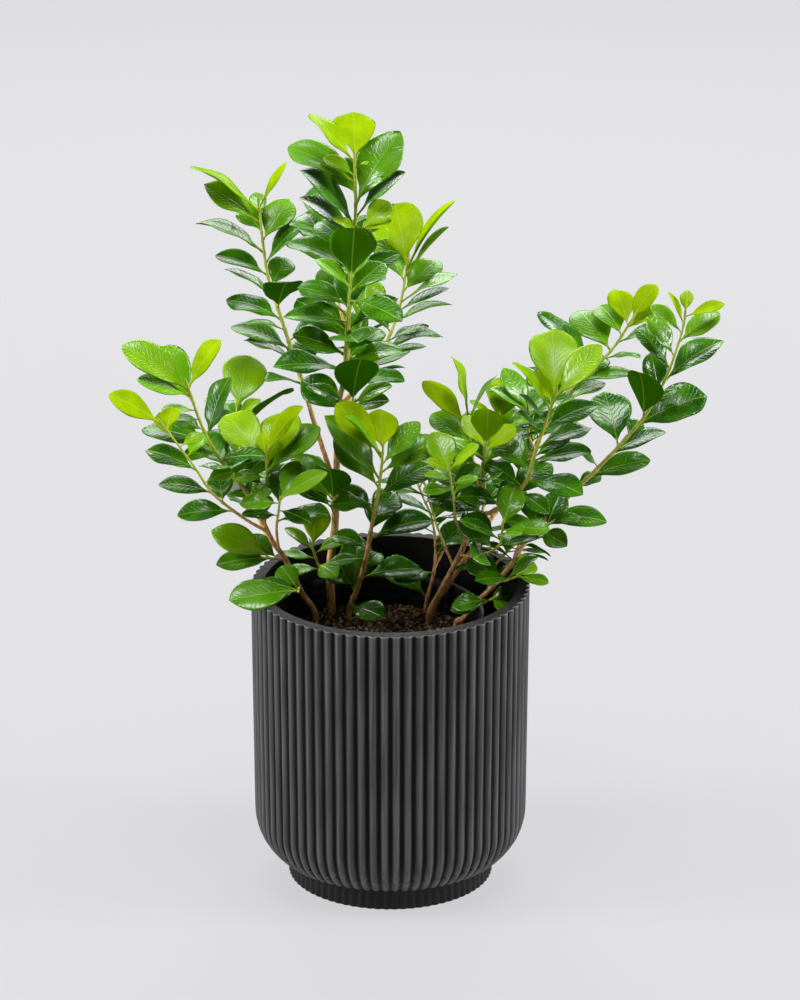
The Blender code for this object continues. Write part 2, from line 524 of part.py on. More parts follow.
def shoot_tube(name, shoot):
    """A shoot's wood, as a mesh tube with closed ends."""
    points = smooth_route(shoot, 1 if shoot.rooted else 2)
    widths = radii(shoot, points)
    curve = bpy.data.curves.new(name, "CURVE")
    curve.dimensions = "3D"
    curve.bevel_depth = widths[0]
    curve.bevel_resolution = 1 if shoot.rooted else 0
    curve.use_fill_caps = True
    line = curve.splines.new("POLY")
    line.points.add(len(points) - 1)
    for spot, point, width in zip(line.points, points, widths):
        spot.co = (*point, 1.0)
        spot.radius = width / widths[0]
    blank = bpy.data.objects.new(name, curve)
    bpy.context.scene.collection.objects.link(blank)
    mesh = welded_mesh(blank)
    bpy.data.objects.remove(blank, do_unlink=True)
    return mesh


def guard_tube(shoot, extra):
    """A plain six-sided tube round a shoot, that a leaf must stay out of."""
    points = smooth_route(shoot, 3)
    widths = radii(shoot, points)
    corners, faces = [], []
    for index, point in enumerate(points):
        ahead = points[min(index + 1, len(points) - 1)] - points[max(index - 1, 0)]
        turn = ahead.to_track_quat("Z", "Y")
        for side in range(GUARD_SIDES):
            angle = math.tau * side / GUARD_SIDES
            spoke = Vector((math.cos(angle), math.sin(angle), 0.0)) * (widths[index] * GUARD_SWELL + extra)
            corners.append(point + turn @ spoke)
        if index:
            for side in range(GUARD_SIDES):
                other = (side + 1) % GUARD_SIDES
                low, high = GUARD_SIDES * (index - 1), GUARD_SIDES * index
                faces.append((low + side, low + other, high + other, high + side))
    return BVHTree.FromPolygons(corners, faces)


def guard_ring(inner, outer, low, high, centre):
    """A plain ring round a pot's rim, that a leaf must stay out of."""
    corners, faces = [], []
    for radius, height in ((inner, low), (inner, high), (outer, high), (outer, low)):
        for step in range(GUARD_STEPS):
            turn = math.tau * step / GUARD_STEPS
            corners.append(centre + Vector((radius * math.cos(turn), radius * math.sin(turn), height)))
    for row in range(3):
        for step in range(GUARD_STEPS):
            after = (step + 1) % GUARD_STEPS
            low_row, high_row = row * GUARD_STEPS, (row + 1) * GUARD_STEPS
            faces.append((low_row + step, low_row + after, high_row + after, high_row + step))
    return BVHTree.FromPolygons(corners, faces)


class Leaf:
    """One leaf: where it leaves its shoot, which way it points and how large it is."""

    def __init__(self, root, tangent, bearing, lift, length, width, arch, roll, turned):
        self.root = root
        self.length = length
        self.width = width
        self.arch = arch
        bearing, lift = math.radians(bearing), math.radians(lift)
        level = Vector((math.cos(bearing), math.sin(bearing), 0.0))
        self.along = level * math.cos(lift) + UP * math.sin(lift)
        facing = tangent * 0.5 + UP * 0.6 - level * 0.35
        self.out = (facing - self.along * facing.dot(self.along)).normalized()
        light = (LIGHT - self.along * LIGHT.dot(self.along)).normalized()
        angle = self.out.angle(light)
        turn = Matrix.Rotation(roll, 3, self.along)
        if angle < math.radians(100.0):
            share = min(1.0, math.radians(turned) / max(angle, 0.001))
            self.out = self.out.slerp(light, share).normalized()
        self.out = turn @ self.out
        self.across = self.along.cross(self.out)

    def half_width(self, t):
        """Half the blade's width at a share t of the leaf's length."""
        s = (t - STALK_SHARE) / (1.0 - STALK_SHARE)
        widest = BLADE_RISE / (BLADE_RISE + BLADE_FALL)
        full = widest ** BLADE_RISE * (1.0 - widest) ** BLADE_FALL
        return 0.5 * self.width * s ** BLADE_RISE * (1.0 - s) ** BLADE_FALL / full

    def point(self, t, sideways, depth):
        """A point at a share t of the length, so far sideways and so deep under the upper face."""
        half, bend = 0.5 * self.arch, self.arch * (0.5 - t)
        run = self.length * (math.sin(half) - math.sin(bend)) / self.arch
        rise = self.length * (math.cos(bend) - math.cos(half)) / self.arch
        high = abs(sideways) * math.sin(FOLD) - depth
        return (self.root + self.across * (sideways * math.cos(FOLD))
                + self.along * (run - high * math.sin(bend))
                + self.out * (rise + high * math.cos(bend)))

    def shape(self, extra=0.0, with_stalk=True):
        """Corners and triangles of the leaf, split alike on both faces of its blade."""
        corners = []
        for t, size in ((0.0, 0.65), (STALK_SHARE, 1.0)):
            wide = STALK_THICK * size + extra
            corners += [self.point(t, -wide, 0.0), self.point(t, wide, 0.0), self.point(t, 0.0, 1.3 * wide)]
        for t in (0.45, 0.82):
            wide = self.half_width(t) + extra
            corners += [self.point(t, -wide, 0.0), self.point(t, 0.0, -extra),
                        self.point(t, wide, 0.0), self.point(t, 0.0, BLADE_THICK + extra)]
        corners.append(self.point(1.0, 0.0, -0.001))
        stalk = [(0, 2, 1), (0, 1, 4), (0, 4, 3), (0, 3, 5), (0, 5, 2), (1, 2, 5), (1, 5, 4)]
        blade = [(3, 6, 7), (3, 7, 4), (4, 7, 8), (3, 9, 6), (3, 5, 9), (5, 4, 9), (4, 8, 9),
                 (6, 10, 11), (6, 11, 7), (7, 11, 8), (8, 11, 12), (6, 13, 10), (6, 9, 13), (9, 8, 13),
                 (8, 12, 13), (10, 14, 11), (11, 14, 12), (10, 13, 14), (13, 12, 14)]
        return corners, (stalk + blade if with_stalk else blade)


def leaf_sites(shoot, draw):
    """Where the shoot's leaves sit, from the tip down: place, tangent, order and drawn jitter."""
    points = smooth_route(shoot, 12)
    reach, index, sites = 0.0, len(points) - 1, []
    wanted, order = 0.006, 0
    while index > 0 and wanted < shoot.leafy:
        step = (points[index] - points[index - 1]).length
        if reach + step >= wanted:
            share = (wanted - reach) / step
            place = points[index].lerp(points[index - 1], share)
            tangent = (points[index] - points[index - 1]).normalized()
            sites.append((place, tangent, order, [draw.uniform(-1.0, 1.0) for _ in range(6)]))
            growth = TIP_GAPS[order] if order < len(TIP_GAPS) else 1.0
            wanted += shoot.gap * growth * (1.0 + 0.15 * sites[-1][3][0])
            order += 1
        else:
            reach += step
            index -= 1
    return sites


def wanted_leaf(shoot, site, count):
    """The bearing, lift, length, width, arch, roll and turn to the front that a leaf would like."""
    place, tangent, order, jitter = site
    listed = shoot.tip_leaves
    age = min(1.0, shoot.ripe + order / 8.0)
    turned = TURN_TO_LIGHT
    if order < len(listed):
        bearing, lift, length, *more = listed[order]
        roll = 6.0 * jitter[5]
        turned = more[0] if more else turned
    else:
        bearing = listed[-1][0] + GOLDEN_ANGLE * (order - len(listed) + 1) + 14.0 * jitter[1]
        lift = shoot.lift - 24.0 * order / max(count, 8) + 10.0 * jitter[2]
        length = shoot.size * (1.05 + 0.12 * jitter[3])
        roll = 12.0 * jitter[5]
    broad = abs(math.sin(math.radians(bearing))) ** 3
    turned *= 0.3 + 0.7 * broad
    width = length * (0.50 + 0.02 * age + 0.12 * broad + 0.03 * jitter[4])
    arch = math.radians(18.0 + 18.0 * age + 9.0 * jitter[4])
    return bearing, lift, length * LEAF_GROWTH, width * LEAF_GROWTH, arch, math.radians(roll), turned


def clear_leaf(name, shoot, own_tube, site, count, walls, tubes, placed):
    """The leaf at a site, turned aside by small steps until it is clear, or None."""
    place, tangent = site[0], site[1]
    bearing, lift, length, width, arch, roll, turned = wanted_leaf(shoot, site, count)
    near = [other for other in placed if (other[1] - place).length < other[2] + length + NEAR_LEAVES]
    for shrink in SHRINKS:
        for aside, more in TURNS:
            leaf = Leaf(place, tangent, bearing + aside, lift + more, length * shrink, width * shrink,
                        arch, roll, turned)
            blade = BVHTree.FromPolygons(*leaf.shape(LEAF_CLEARANCE, with_stalk=False))
            whole = BVHTree.FromPolygons(*leaf.shape(LEAF_CLEARANCE))
            if any(whole.overlap(wall) for wall in walls) or blade.overlap(own_tube):
                continue
            if any(whole.overlap(tube) for owner, tube in tubes if owner != name):
                continue
            if any(blade.overlap(tube) for owner, tube in tubes if owner == name and tube is not own_tube):
                continue
            if any(whole.overlap(other[3]) for other in near if other[0] != name):
                continue
            if any(blade.overlap(other[4]) for other in near if other[0] == name):
                continue
            return leaf, whole, blade
    return None, None, None


def place_leaves():
    """All leaves, by stem: first those that are listed, then the spirals."""
    draw = random.Random(5)
    inner = PLANTER_RADIUS - PLANTER_LIP
    walls = [guard_ring(inner - RIM_CLEARANCE, PLANTER_RADIUS + RIM_CLEARANCE, FOOT_RADIUS,
                        PLANTER_HEIGHT + RIM_CLEARANCE, ORIGIN),
             guard_ring(pot_inner_radius(POT_TOP) - RIM_CLEARANCE, POT_LIP_RADIUS + RIM_CLEARANCE,
                        FOOT_RADIUS, POT_TOP + RIM_CLEARANCE, POT_CENTRE),
             guard_ring(RIM_CLEARANCE, POT_LIP_RADIUS, FOOT_RADIUS, SOIL_TOP + SOIL_BUMP + RIM_CLEARANCE,
                        POT_CENTRE)]
    tubes, sites = [], []
    for name, shoots in STEMS.items():
        for shoot in shoots:
            tube = guard_tube(shoot, STEM_CLEARANCE)
            tubes.append((name, tube))
            sites.append((name, shoot, tube, leaf_sites(shoot, draw)))
    placed, leaves = [], {name: [] for name in STEMS}
    for listed in (True, False):
        for name, shoot, tube, spots in sites:
            for site in spots:
                if (site[2] < len(shoot.tip_leaves)) != listed:
                    continue
                leaf, whole, blade = clear_leaf(name, shoot, tube, site, len(spots), walls, tubes, placed)
                if leaf is not None:
                    placed.append((name, leaf.root, leaf.length, whole, blade))
                    leaves[name].append(leaf)
    return leaves


def leaf_mesh(name, leaf):
    """A closed mesh for one leaf."""
    corners, faces = leaf.shape()
    mesh = bpy.data.meshes.new(name)
    mesh.from_pydata(corners, [], faces)
    body = bmesh.new()
    body.from_mesh(mesh)
    bmesh.ops.recalc_face_normals(body, faces=body.faces)
    body.to_mesh(mesh)
    body.free()
    return mesh


def merge_flat_faces(mesh):
    """Merge the slivers that a union leaves on flat faces, as far as the mesh stays closed."""
    for angle, shortest in itertools.product(FLAT_ANGLES, SHORT_EDGES):
        body = bmesh.new()
        body.from_mesh(mesh)
        bmesh.ops.dissolve_limit(body, angle_limit=math.radians(angle), verts=body.verts, edges=body.edges)
        bmesh.ops.triangulate(body, faces=body.faces)
        bmesh.ops.remove_doubles(body, verts=body.verts, dist=shortest)
        bmesh.ops.dissolve_degenerate(body, dist=0.5 * shortest, edges=body.edges)
        closed = all(len(edge.link_faces) == 2 for edge in body.edges)
        if closed:
            body.to_mesh(mesh)
            body.free()
            return
        body.free()


def make_stem(name, shoots, leaves, group, finish):
    """One leafy stem: its main shoot, with its side shoots and leaves joined to it."""
    stem = add_object(name, shoot_tube(name, shoots[0]), group, finish)
    grown = collection(f"{name}_grown")
    for index, shoot in enumerate(shoots[1:]):
        add_object(f"{name}_side_{index}", shoot_tube(f"{name}_side_{index}", shoot), grown)
    for index, leaf in enumerate(leaves):
        add_object(f"{name}_leaf_{index}", leaf_mesh(f"{name}_leaf_{index}", leaf), grown)
    join = stem.modifiers.new("grown", "BOOLEAN")
    join.operation = "UNION"
    join.solver = "MANIFOLD"
    join.operand_type = "COLLECTION"
    join.collection = grown
    whole = evaluated_mesh(stem)
    merge_flat_faces(whole)
    stem.modifiers.clear()
    stem.data = whole
    whole.materials.clear()
    whole.materials.append(finish)
    for extra in list(grown.objects):
        bpy.data.objects.remove(extra, do_unlink=True)
    bpy.data.collections.remove(grown)


remove_all()
ficus = collection("potted_ficus")
cutters = collection("cutters")
make_planter(ficus, cutters)
make_nursery_pot(ficus, cutters)
make_potting_mix(ficus, cutters)
grown_leaves = place_leaves()
for stem_name, stem_shoots in STEMS.items():
    green = material(f"{stem_name}_green", LEAF_GREEN, 0.4)
    make_stem(stem_name, stem_shoots, grown_leaves[stem_name], ficus, green)
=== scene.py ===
"""A small ficus in a black nursery pot inside a fluted charcoal planter, dressed for its picture.

Metres, +Z up. The origin is the centre of the planter's foot, on the ground, and the front faces -Y.
"""
import math
import random

import bpy
from mathutils import Matrix, Vector
from mathutils.bvhtree import BVHTree


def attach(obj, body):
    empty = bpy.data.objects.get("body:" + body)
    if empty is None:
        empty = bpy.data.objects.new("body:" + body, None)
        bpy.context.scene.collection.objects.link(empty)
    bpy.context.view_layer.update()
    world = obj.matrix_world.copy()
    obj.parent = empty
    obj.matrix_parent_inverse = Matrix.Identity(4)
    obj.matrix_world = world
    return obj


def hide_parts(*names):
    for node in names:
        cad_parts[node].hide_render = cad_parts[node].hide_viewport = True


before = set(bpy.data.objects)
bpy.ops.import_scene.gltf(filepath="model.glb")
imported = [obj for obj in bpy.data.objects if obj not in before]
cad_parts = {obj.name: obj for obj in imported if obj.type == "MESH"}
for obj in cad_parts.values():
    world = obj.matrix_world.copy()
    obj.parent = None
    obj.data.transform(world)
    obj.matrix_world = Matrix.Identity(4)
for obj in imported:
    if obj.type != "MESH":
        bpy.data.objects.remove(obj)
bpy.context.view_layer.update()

# Camera. The plant was taken from the front with a long lens, from well above its rim,
# so its verticals stay nearly straight and the rim shows as a flat ellipse.
PICTURE_HEIGHT = 1000.0
FOCAL_PIXELS = 6905.0
FILM = 36.0
CAMERA_PLACE = (0.0, -6.41, 2.95)
CAMERA_DOWN = 21.67
CAMERA_TURN = -0.087
FAR_SIGHT = 60.0

photo_camera = bpy.data.cameras.new("photo_camera")
photo_camera.sensor_width = FILM
photo_camera.lens = FOCAL_PIXELS * FILM / PICTURE_HEIGHT
photo_camera.clip_end = FAR_SIGHT
camera_stand = bpy.data.objects.new("photo_camera", photo_camera)
camera_stand.location = CAMERA_PLACE
camera_stand.rotation_euler = (math.radians(90.0 - CAMERA_DOWN), 0.0, math.radians(CAMERA_TURN))
bpy.context.scene.collection.objects.link(camera_stand)
bpy.context.scene.camera = camera_stand
bpy.context.scene.view_settings.view_transform = "Standard"


# Studio. A pale seamless floor runs out of the picture all round, with a faint glow of its own so
# that it comes out even. Tall soft lights stand left and right of the plant, one hangs over it and
# a wide one stands behind it, so its front is left a little darker.
FLOOR_REACH = 9.0
FLOOR_GREYS = ((0.094, 0.094, 0.096), (0.092, 0.092, 0.094))
FLOOR_GLOWS = ((0.562, 0.562, 0.573), (0.605, 0.605, 0.617))
GLOW_STARTS = 1.0
GLOW_LEVELS_OUT = 3.2
ROOM_TINT = (0.97, 0.98, 1.0, 1.0)
ROOM_GLOW = 0.04
PLANT_MIDDLE = (0.0, 0.0, 0.4)


class Flow:
    """A value that runs through a node tree, so that the sums on it can be written as Python."""

    def __init__(self, tree, socket=None):
        self.tree = tree
        self.socket = socket

    def node(self, kind, settings=None, sockets=None, output=0):
        """A new node: its settings first, then the values or links of its sockets."""
        made = self.tree.nodes.new(kind)
        for name, value in (settings or {}).items():
            if name == "stops":
                ramp = made.color_ramp
                while len(ramp.elements) < len(value):
                    ramp.elements.new(1.0)
                for element, (place, colour) in zip(ramp.elements, value):
                    element.position = place
                    element.color = (*colour, 1.0)
            else:
                setattr(made, name, value)
        for name, value in (sockets or {}).items():
            self.feed(made.inputs[name], value)
        return Flow(self.tree, made.outputs[output])

    def feed(self, socket, value):
        """Link a flow to a socket, or set the socket's own value."""
        if isinstance(value, Flow):
            self.tree.links.new(value.socket, socket)
        else:
            socket.default_value = value

    def sum(self, operation, *values):
        """One Math node, or a Vector Math node where a vector takes part."""
        vector = any(isinstance(value, Flow) and value.socket.type == "VECTOR" for value in values)
        made = self.tree.nodes.new("ShaderNodeVectorMath" if vector else "ShaderNodeMath")
        made.operation = operation
        for socket, value in zip(made.inputs, values):
            if vector and isinstance(value, (int, float)):
                value = (value, value, value)
            self.feed(socket, value)
        return Flow(self.tree, made.outputs[0])

    def __add__(self, other):
        return self.sum("ADD", self, other)

    def __radd__(self, other):
        return self.sum("ADD", other, self)

    def __sub__(self, other):
        return self.sum("SUBTRACT", self, other)

    def __rsub__(self, other):
        return self.sum("SUBTRACT", other, self)

    def __mul__(self, other):
        return self.sum("MULTIPLY", self, other)

    def __rmul__(self, other):
        return self.sum("MULTIPLY", other, self)

    def __truediv__(self, other):
        return self.sum("DIVIDE", self, other)

    def __rtruediv__(self, other):
        return self.sum("DIVIDE", other, self)

    def __pow__(self, other):
        return self.sum("POWER", self, other)

    def __neg__(self):
        return self.sum("SUBTRACT", 0.0, self)

    def __abs__(self):
        return self.sum("ABSOLUTE", self)

    def sine(self):
        return self.sum("SINE", self)

    def cosine(self):
        return self.sum("COSINE", self)

    def root(self):
        return self.sum("SQRT", self)

    def exponential(self):
        return self.sum("EXPONENT", self)

    def fraction(self):
        return self.sum("FRACT", self)

    def rounded(self):
        return self.sum("ROUND", self)

    def at_least(self, other):
        return self.sum("MAXIMUM", self, other)

    def at_most(self, other):
        return self.sum("MINIMUM", self, other)

    def step_up(self, low, high):
        """0 below low, 1 above high, and a smooth rise in between. It falls where high is under low."""
        return self.node("ShaderNodeMapRange", {"interpolation_type": "SMOOTHSTEP"},
                         {"Value": self, "From Min": low, "From Max": high})

    def part(self, axis):
        """One number of a vector."""
        return self.node("ShaderNodeSeparateXYZ", None, {0: self}, axis)

    def vector(self, x, y, z):
        """A vector of three numbers or flows, in this flow's tree."""
        return self.node("ShaderNodeCombineXYZ", None, {0: x, 1: y, 2: z})

    def from_axis(self):
        """How far a place is from the upright axis."""
        return (self.part(0) * self.part(0) + self.part(1) * self.part(1)).root()

    def blend(self, first, second):
        """First colour where this flow is 0, second where it is 1."""
        made = self.tree.nodes.new("ShaderNodeMix")
        made.data_type = "RGBA"
        self.feed(made.inputs[0], self)
        for socket, colour in ((made.inputs[6], first), (made.inputs[7], second)):
            self.feed(socket, colour if isinstance(colour, Flow) else (*colour, 1.0))
        return Flow(self.tree, made.outputs[2])


class Finish:
    """A material with one Principled shader. What is the same all over is set on its own sockets."""

    def __init__(self, name, **constants):
        self.material = bpy.data.materials.new(name)
        self.material.use_nodes = True
        self.tree = self.material.node_tree
        self.shader = self.tree.nodes["Principled BSDF"]
        self.start = Flow(self.tree)
        for name, value in constants.items():
            self.shader.inputs[self.label(name)].default_value = value

    def label(self, name):
        """The shader's own name of a socket that is given in small letters."""
        return name.replace("_", " ").title().replace("Ior", "IOR")

    def place(self):
        """Where a point of the piece is, in the object's own metres."""
        return self.start.node("ShaderNodeTexCoord", output="Object")

    def noise(self, scale, detail=3.0, roughness=0.5, stretch=(1.0, 1.0, 1.0)):
        """Noise from 0 to 1, with so many spots to a metre, drawn out where its stretch is under 1."""
        return self.start.node("ShaderNodeTexNoise", None, {
            "Vector": self.place() * stretch, "Scale": scale, "Detail": detail, "Roughness": roughness})

    def carried(self, name, output="Fac"):
        """A value that the mesh carries."""
        return self.start.node("ShaderNodeAttribute", {"attribute_name": name}, None, output)

    def feeds(self, **flows):
        """Link flows to the shader's sockets."""
        for name, flow in flows.items():
            self.start.feed(self.shader.inputs[self.label(name)], flow)

    def bump(self, height, strength, distance):
        """Raise the surface by a height from 0 to 1, so many metres deep."""
        self.feeds(normal=self.start.node("ShaderNodeBump", None, {
            "Strength": strength, "Distance": distance, "Height": height}))

    def varnish(self, share, roughness, level):
        """Mix in a glossier shader of the same colour and relief, by a share from 0 to 1."""
        glossy = self.tree.nodes.new("ShaderNodeBsdfPrincipled")
        glossy.inputs["Roughness"].default_value = roughness
        glossy.inputs["Specular IOR Level"].default_value = level
        for name in ("Base Color", "Normal"):
            for link in self.shader.inputs[name].links:
                self.tree.links.new(link.from_socket, glossy.inputs[name])
        mixer = self.tree.nodes.new("ShaderNodeMixShader")
        self.start.feed(mixer.inputs[0], share)
        self.tree.links.new(self.shader.outputs[0], mixer.inputs[1])
        self.tree.links.new(glossy.outputs[0], mixer.inputs[2])
        self.tree.links.new(mixer.outputs[0], self.tree.nodes["Material Output"].inputs["Surface"])


def shown(name, mesh):
    """An object for a mesh, in the scene, at the origin."""
    made = bpy.data.objects.new(name, mesh)
    bpy.context.scene.collection.objects.link(made)
    return made


floor_paper = Finish("floor_paper", roughness=0.9, specular_ior_level=0.1, emission_strength=1.0)
out_on_floor = floor_paper.place().from_axis().step_up(GLOW_STARTS, GLOW_LEVELS_OUT)
floor_paper.feeds(base_color=floor_paper.noise(0.6, 1.0).blend(*FLOOR_GREYS),
                  emission_color=out_on_floor.blend(*FLOOR_GLOWS))
floor_mesh = bpy.data.meshes.new("studio_floor")
floor_corners = [(x * FLOOR_REACH, y * FLOOR_REACH, 0.0) for x, y in ((-1, -1), (1, -1), (1, 1), (-1, 1))]
floor_mesh.from_pydata(floor_corners, [], [(0, 1, 2, 3)])
floor_mesh.materials.append(floor_paper.material)
shown("studio_floor", floor_mesh)

room = bpy.data.worlds.new("studio_room")
room.use_nodes = True
room.node_tree.nodes["Background"].inputs["Color"].default_value = ROOM_TINT
room.node_tree.nodes["Background"].inputs["Strength"].default_value = ROOM_GLOW
bpy.context.scene.world = room


def soft_light(name, place, aim, wide, tall, power):
    """A rectangular soft light at a place, aimed at a point."""
    lamp = bpy.data.lights.new(name, "AREA")
    lamp.shape = "RECTANGLE"
    lamp.size = wide
    lamp.size_y = tall
    lamp.energy = power
    stand = bpy.data.objects.new(name, lamp)
    stand.location = place
    stand.rotation_euler = (Vector(aim) - Vector(place)).to_track_quat("-Z", "Y").to_euler()
    bpy.context.scene.collection.objects.link(stand)


soft_light("left_softbox", (-3.3, -0.43, 1.75), PLANT_MIDDLE, wide=1.15, tall=2.6, power=160.0)
soft_light("right_softbox", (3.3, -0.43, 1.75), PLANT_MIDDLE, wide=1.15, tall=2.6, power=148.0)
soft_light("top_softbox", (0.0, -0.4, 3.2), (0.0, 0.1, 0.0), wide=1.7, tall=1.3, power=66.0)
soft_light("back_softbox", (0.0, 2.7, 1.9), PLANT_MIDDLE, wide=3.0, tall=1.1, power=93.0)


# Planter. A round pot of matt charcoal composite, moulded in one piece with upright rounded
# ridges, a flat rim, a round lower edge and a narrower foot with the same ridges.
PLANTER_RADIUS = 0.140
PLANTER_HEIGHT = 0.313
PLANTER_LIP = 0.013
INNER_RADIUS = PLANTER_RADIUS - PLANTER_LIP
PLANTER_FLOOR = 0.042
LOWER_RADIUS = 0.1375
EDGE_ROUND = 0.059
EDGE_TOP = 0.072
FOOT_RADIUS = 0.1035
FOOT_HEIGHT = 0.025
RIDGES = 74
RIDGE_DEPTH = 0.0036
RIDGE_STEPS = 14
RIDGE_FULLNESS = 0.7
RIM_ROUND = 0.0012
FOOT_RIDGE = 0.35
EDGE_RIDGE = 0.85
EDGE_STEPS = 14
BELLY_HEIGHT = 0.19
WELD = 0.00001
# Painted shade: the planter's inner wall and inner floor are coloured near-black for the deep shade inside
# it.
INSIDE_PAINTED_SHADE = (0.004, 0.004, 0.004)
# Painted shade: the grooves between the ridges are coloured near-black for the shade that falls in them.
GROOVE_PAINTED_SHADE = (0.005, 0.0049, 0.0051)
CHARCOALS = ((0.022, 0.0215, 0.0225), (0.046, 0.045, 0.047))


def new_tree(name, **inputs):
    """A node tree for a mesh, with named inputs. Gives its start and the flows of its inputs."""
    tree = bpy.data.node_groups.new(name, "GeometryNodeTree")
    tree.interface.new_socket("Geometry", in_out="INPUT", socket_type="NodeSocketGeometry")
    tree.interface.new_socket("Geometry", in_out="OUTPUT", socket_type="NodeSocketGeometry")
    for label, kind in inputs.items():
        tree.interface.new_socket(label, in_out="INPUT", socket_type=f"NodeSocket{kind}")
    group_input = tree.nodes.new("NodeGroupInput")
    flows = {socket.name: Flow(tree, socket) for socket in group_input.outputs if socket.name}
    return Flow(tree), flows


def end_tree(geometry, finish=None):
    """Close a tree: instances made real, shaded smooth, and given a material if they have none yet."""
    geometry = geometry.node("GeometryNodeRealizeInstances", None, {"Geometry": geometry})
    geometry = geometry.node("GeometryNodeSetShadeSmooth", None, {"Geometry": geometry})
    if finish:
        geometry = geometry.node("GeometryNodeSetMaterial", None, {"Geometry": geometry, "Material": finish})
    closing = geometry.tree.nodes.new("NodeGroupOutput")
    geometry.tree.links.new(geometry.socket, closing.inputs["Geometry"])


def run_tree(piece, start, **values):
    """Run a tree on a piece and keep the result as its plain mesh."""
    modifier = piece.modifiers.new(start.tree.name, "NODES")
    modifier.node_group = start.tree
    for item in start.tree.interface.items_tree:
        if item.in_out == "INPUT" and item.name in values:
            modifier[item.identifier] = values[item.name]
    bpy.context.view_layer.update()
    depsgraph = bpy.context.evaluated_depsgraph_get()
    mesh = bpy.data.meshes.new_from_object(piece.evaluated_get(depsgraph))
    piece.modifiers.clear()
    piece.data = mesh
    mesh.name = piece.name
    return piece


def carried(start, name, kind="FLOAT"):
    """A value that the geometry carries, by its name."""
    return start.node("GeometryNodeInputNamedAttribute", {"data_type": kind}, {"Name": name})


def marked(geometry, name, value, kind="FLOAT"):
    """The geometry, made to carry a value at its points."""
    return geometry.node("GeometryNodeStoreNamedAttribute", {"data_type": kind, "domain": "POINT"},
                         {"Geometry": geometry, "Name": name, "Value": value})


def turning_tree():
    """A profile turned round the Z axis, with upright ridges where the profile carries them."""
    start, given = new_tree("turned_pot", Columns="Int", Rows="Int", Ridges="Int", Depth="Float",
                            Finish="Material")
    grid = start.node("GeometryNodeMeshGrid", None, {
        "Size X": 1.0, "Size Y": 1.0, "Vertices X": given["Columns"], "Vertices Y": given["Rows"]})
    spot = start.node("GeometryNodeInputPosition")
    angle = (spot.part(0) + 0.5) * math.tau
    row = ((spot.part(1) + 0.5) * (given["Rows"] - 1.0)).rounded()
    outline = start.node("GeometryNodeSampleIndex", {"data_type": "FLOAT_VECTOR"},
                         {"Geometry": given["Geometry"], "Value": spot, "Index": row})
    ridged = start.node("GeometryNodeSampleIndex", {"data_type": "FLOAT"},
                        {"Geometry": given["Geometry"], "Value": carried(start, "ridge"), "Index": row})
    phase = (angle * given["Ridges"] / math.tau + 0.5).fraction()
    raised = (0.5 - 0.5 * (phase * math.tau).cosine()) ** RIDGE_FULLNESS
    groove = ridged * (1.0 - raised)
    radius = outline.part(0) - given["Depth"] * groove
    turned = start.node("GeometryNodeSetPosition", None, {
        "Geometry": marked(grid, "groove", groove),
        "Position": start.vector(radius * angle.cosine(), radius * angle.sine(), outline.part(2))})
    closed = start.node("GeometryNodeMergeByDistance", None, {"Geometry": turned, "Distance": WELD})
    end_tree(closed, given["Finish"])
    return start


def profile_mesh(name, profile):
    """A turned outline as a chain of (radius, height, ridge) points."""
    mesh = bpy.data.meshes.new(name)
    mesh.from_pydata([(radius, 0.0, height) for radius, height, _ in profile],
                     [(i, i + 1) for i in range(len(profile) - 1)], [])
    ridge = mesh.attributes.new("ridge", "FLOAT", "POINT")
    ridge.data.foreach_set("value", [point[2] for point in profile])
    return mesh


def turned_piece(name, profile, columns, finish, ridges=1, depth=0.0):
    """A piece turned from its profile, in so many columns round."""
    return run_tree(shown(name, profile_mesh(name, profile)), pot_turning, Columns=columns,
                    Rows=len(profile), Ridges=ridges, Depth=depth, Finish=finish.material)


def corner(centre, radius, from_angle, to_angle, ridge, steps=4):
    """A rounded corner of a profile, as (radius, height, ridge) points."""
    angles = [math.radians(from_angle + (to_angle - from_angle) * step / steps) for step in range(steps + 1)]
    return [(centre[0] + radius * math.cos(angle), centre[1] + radius * math.sin(angle), ridge)
            for angle in angles]


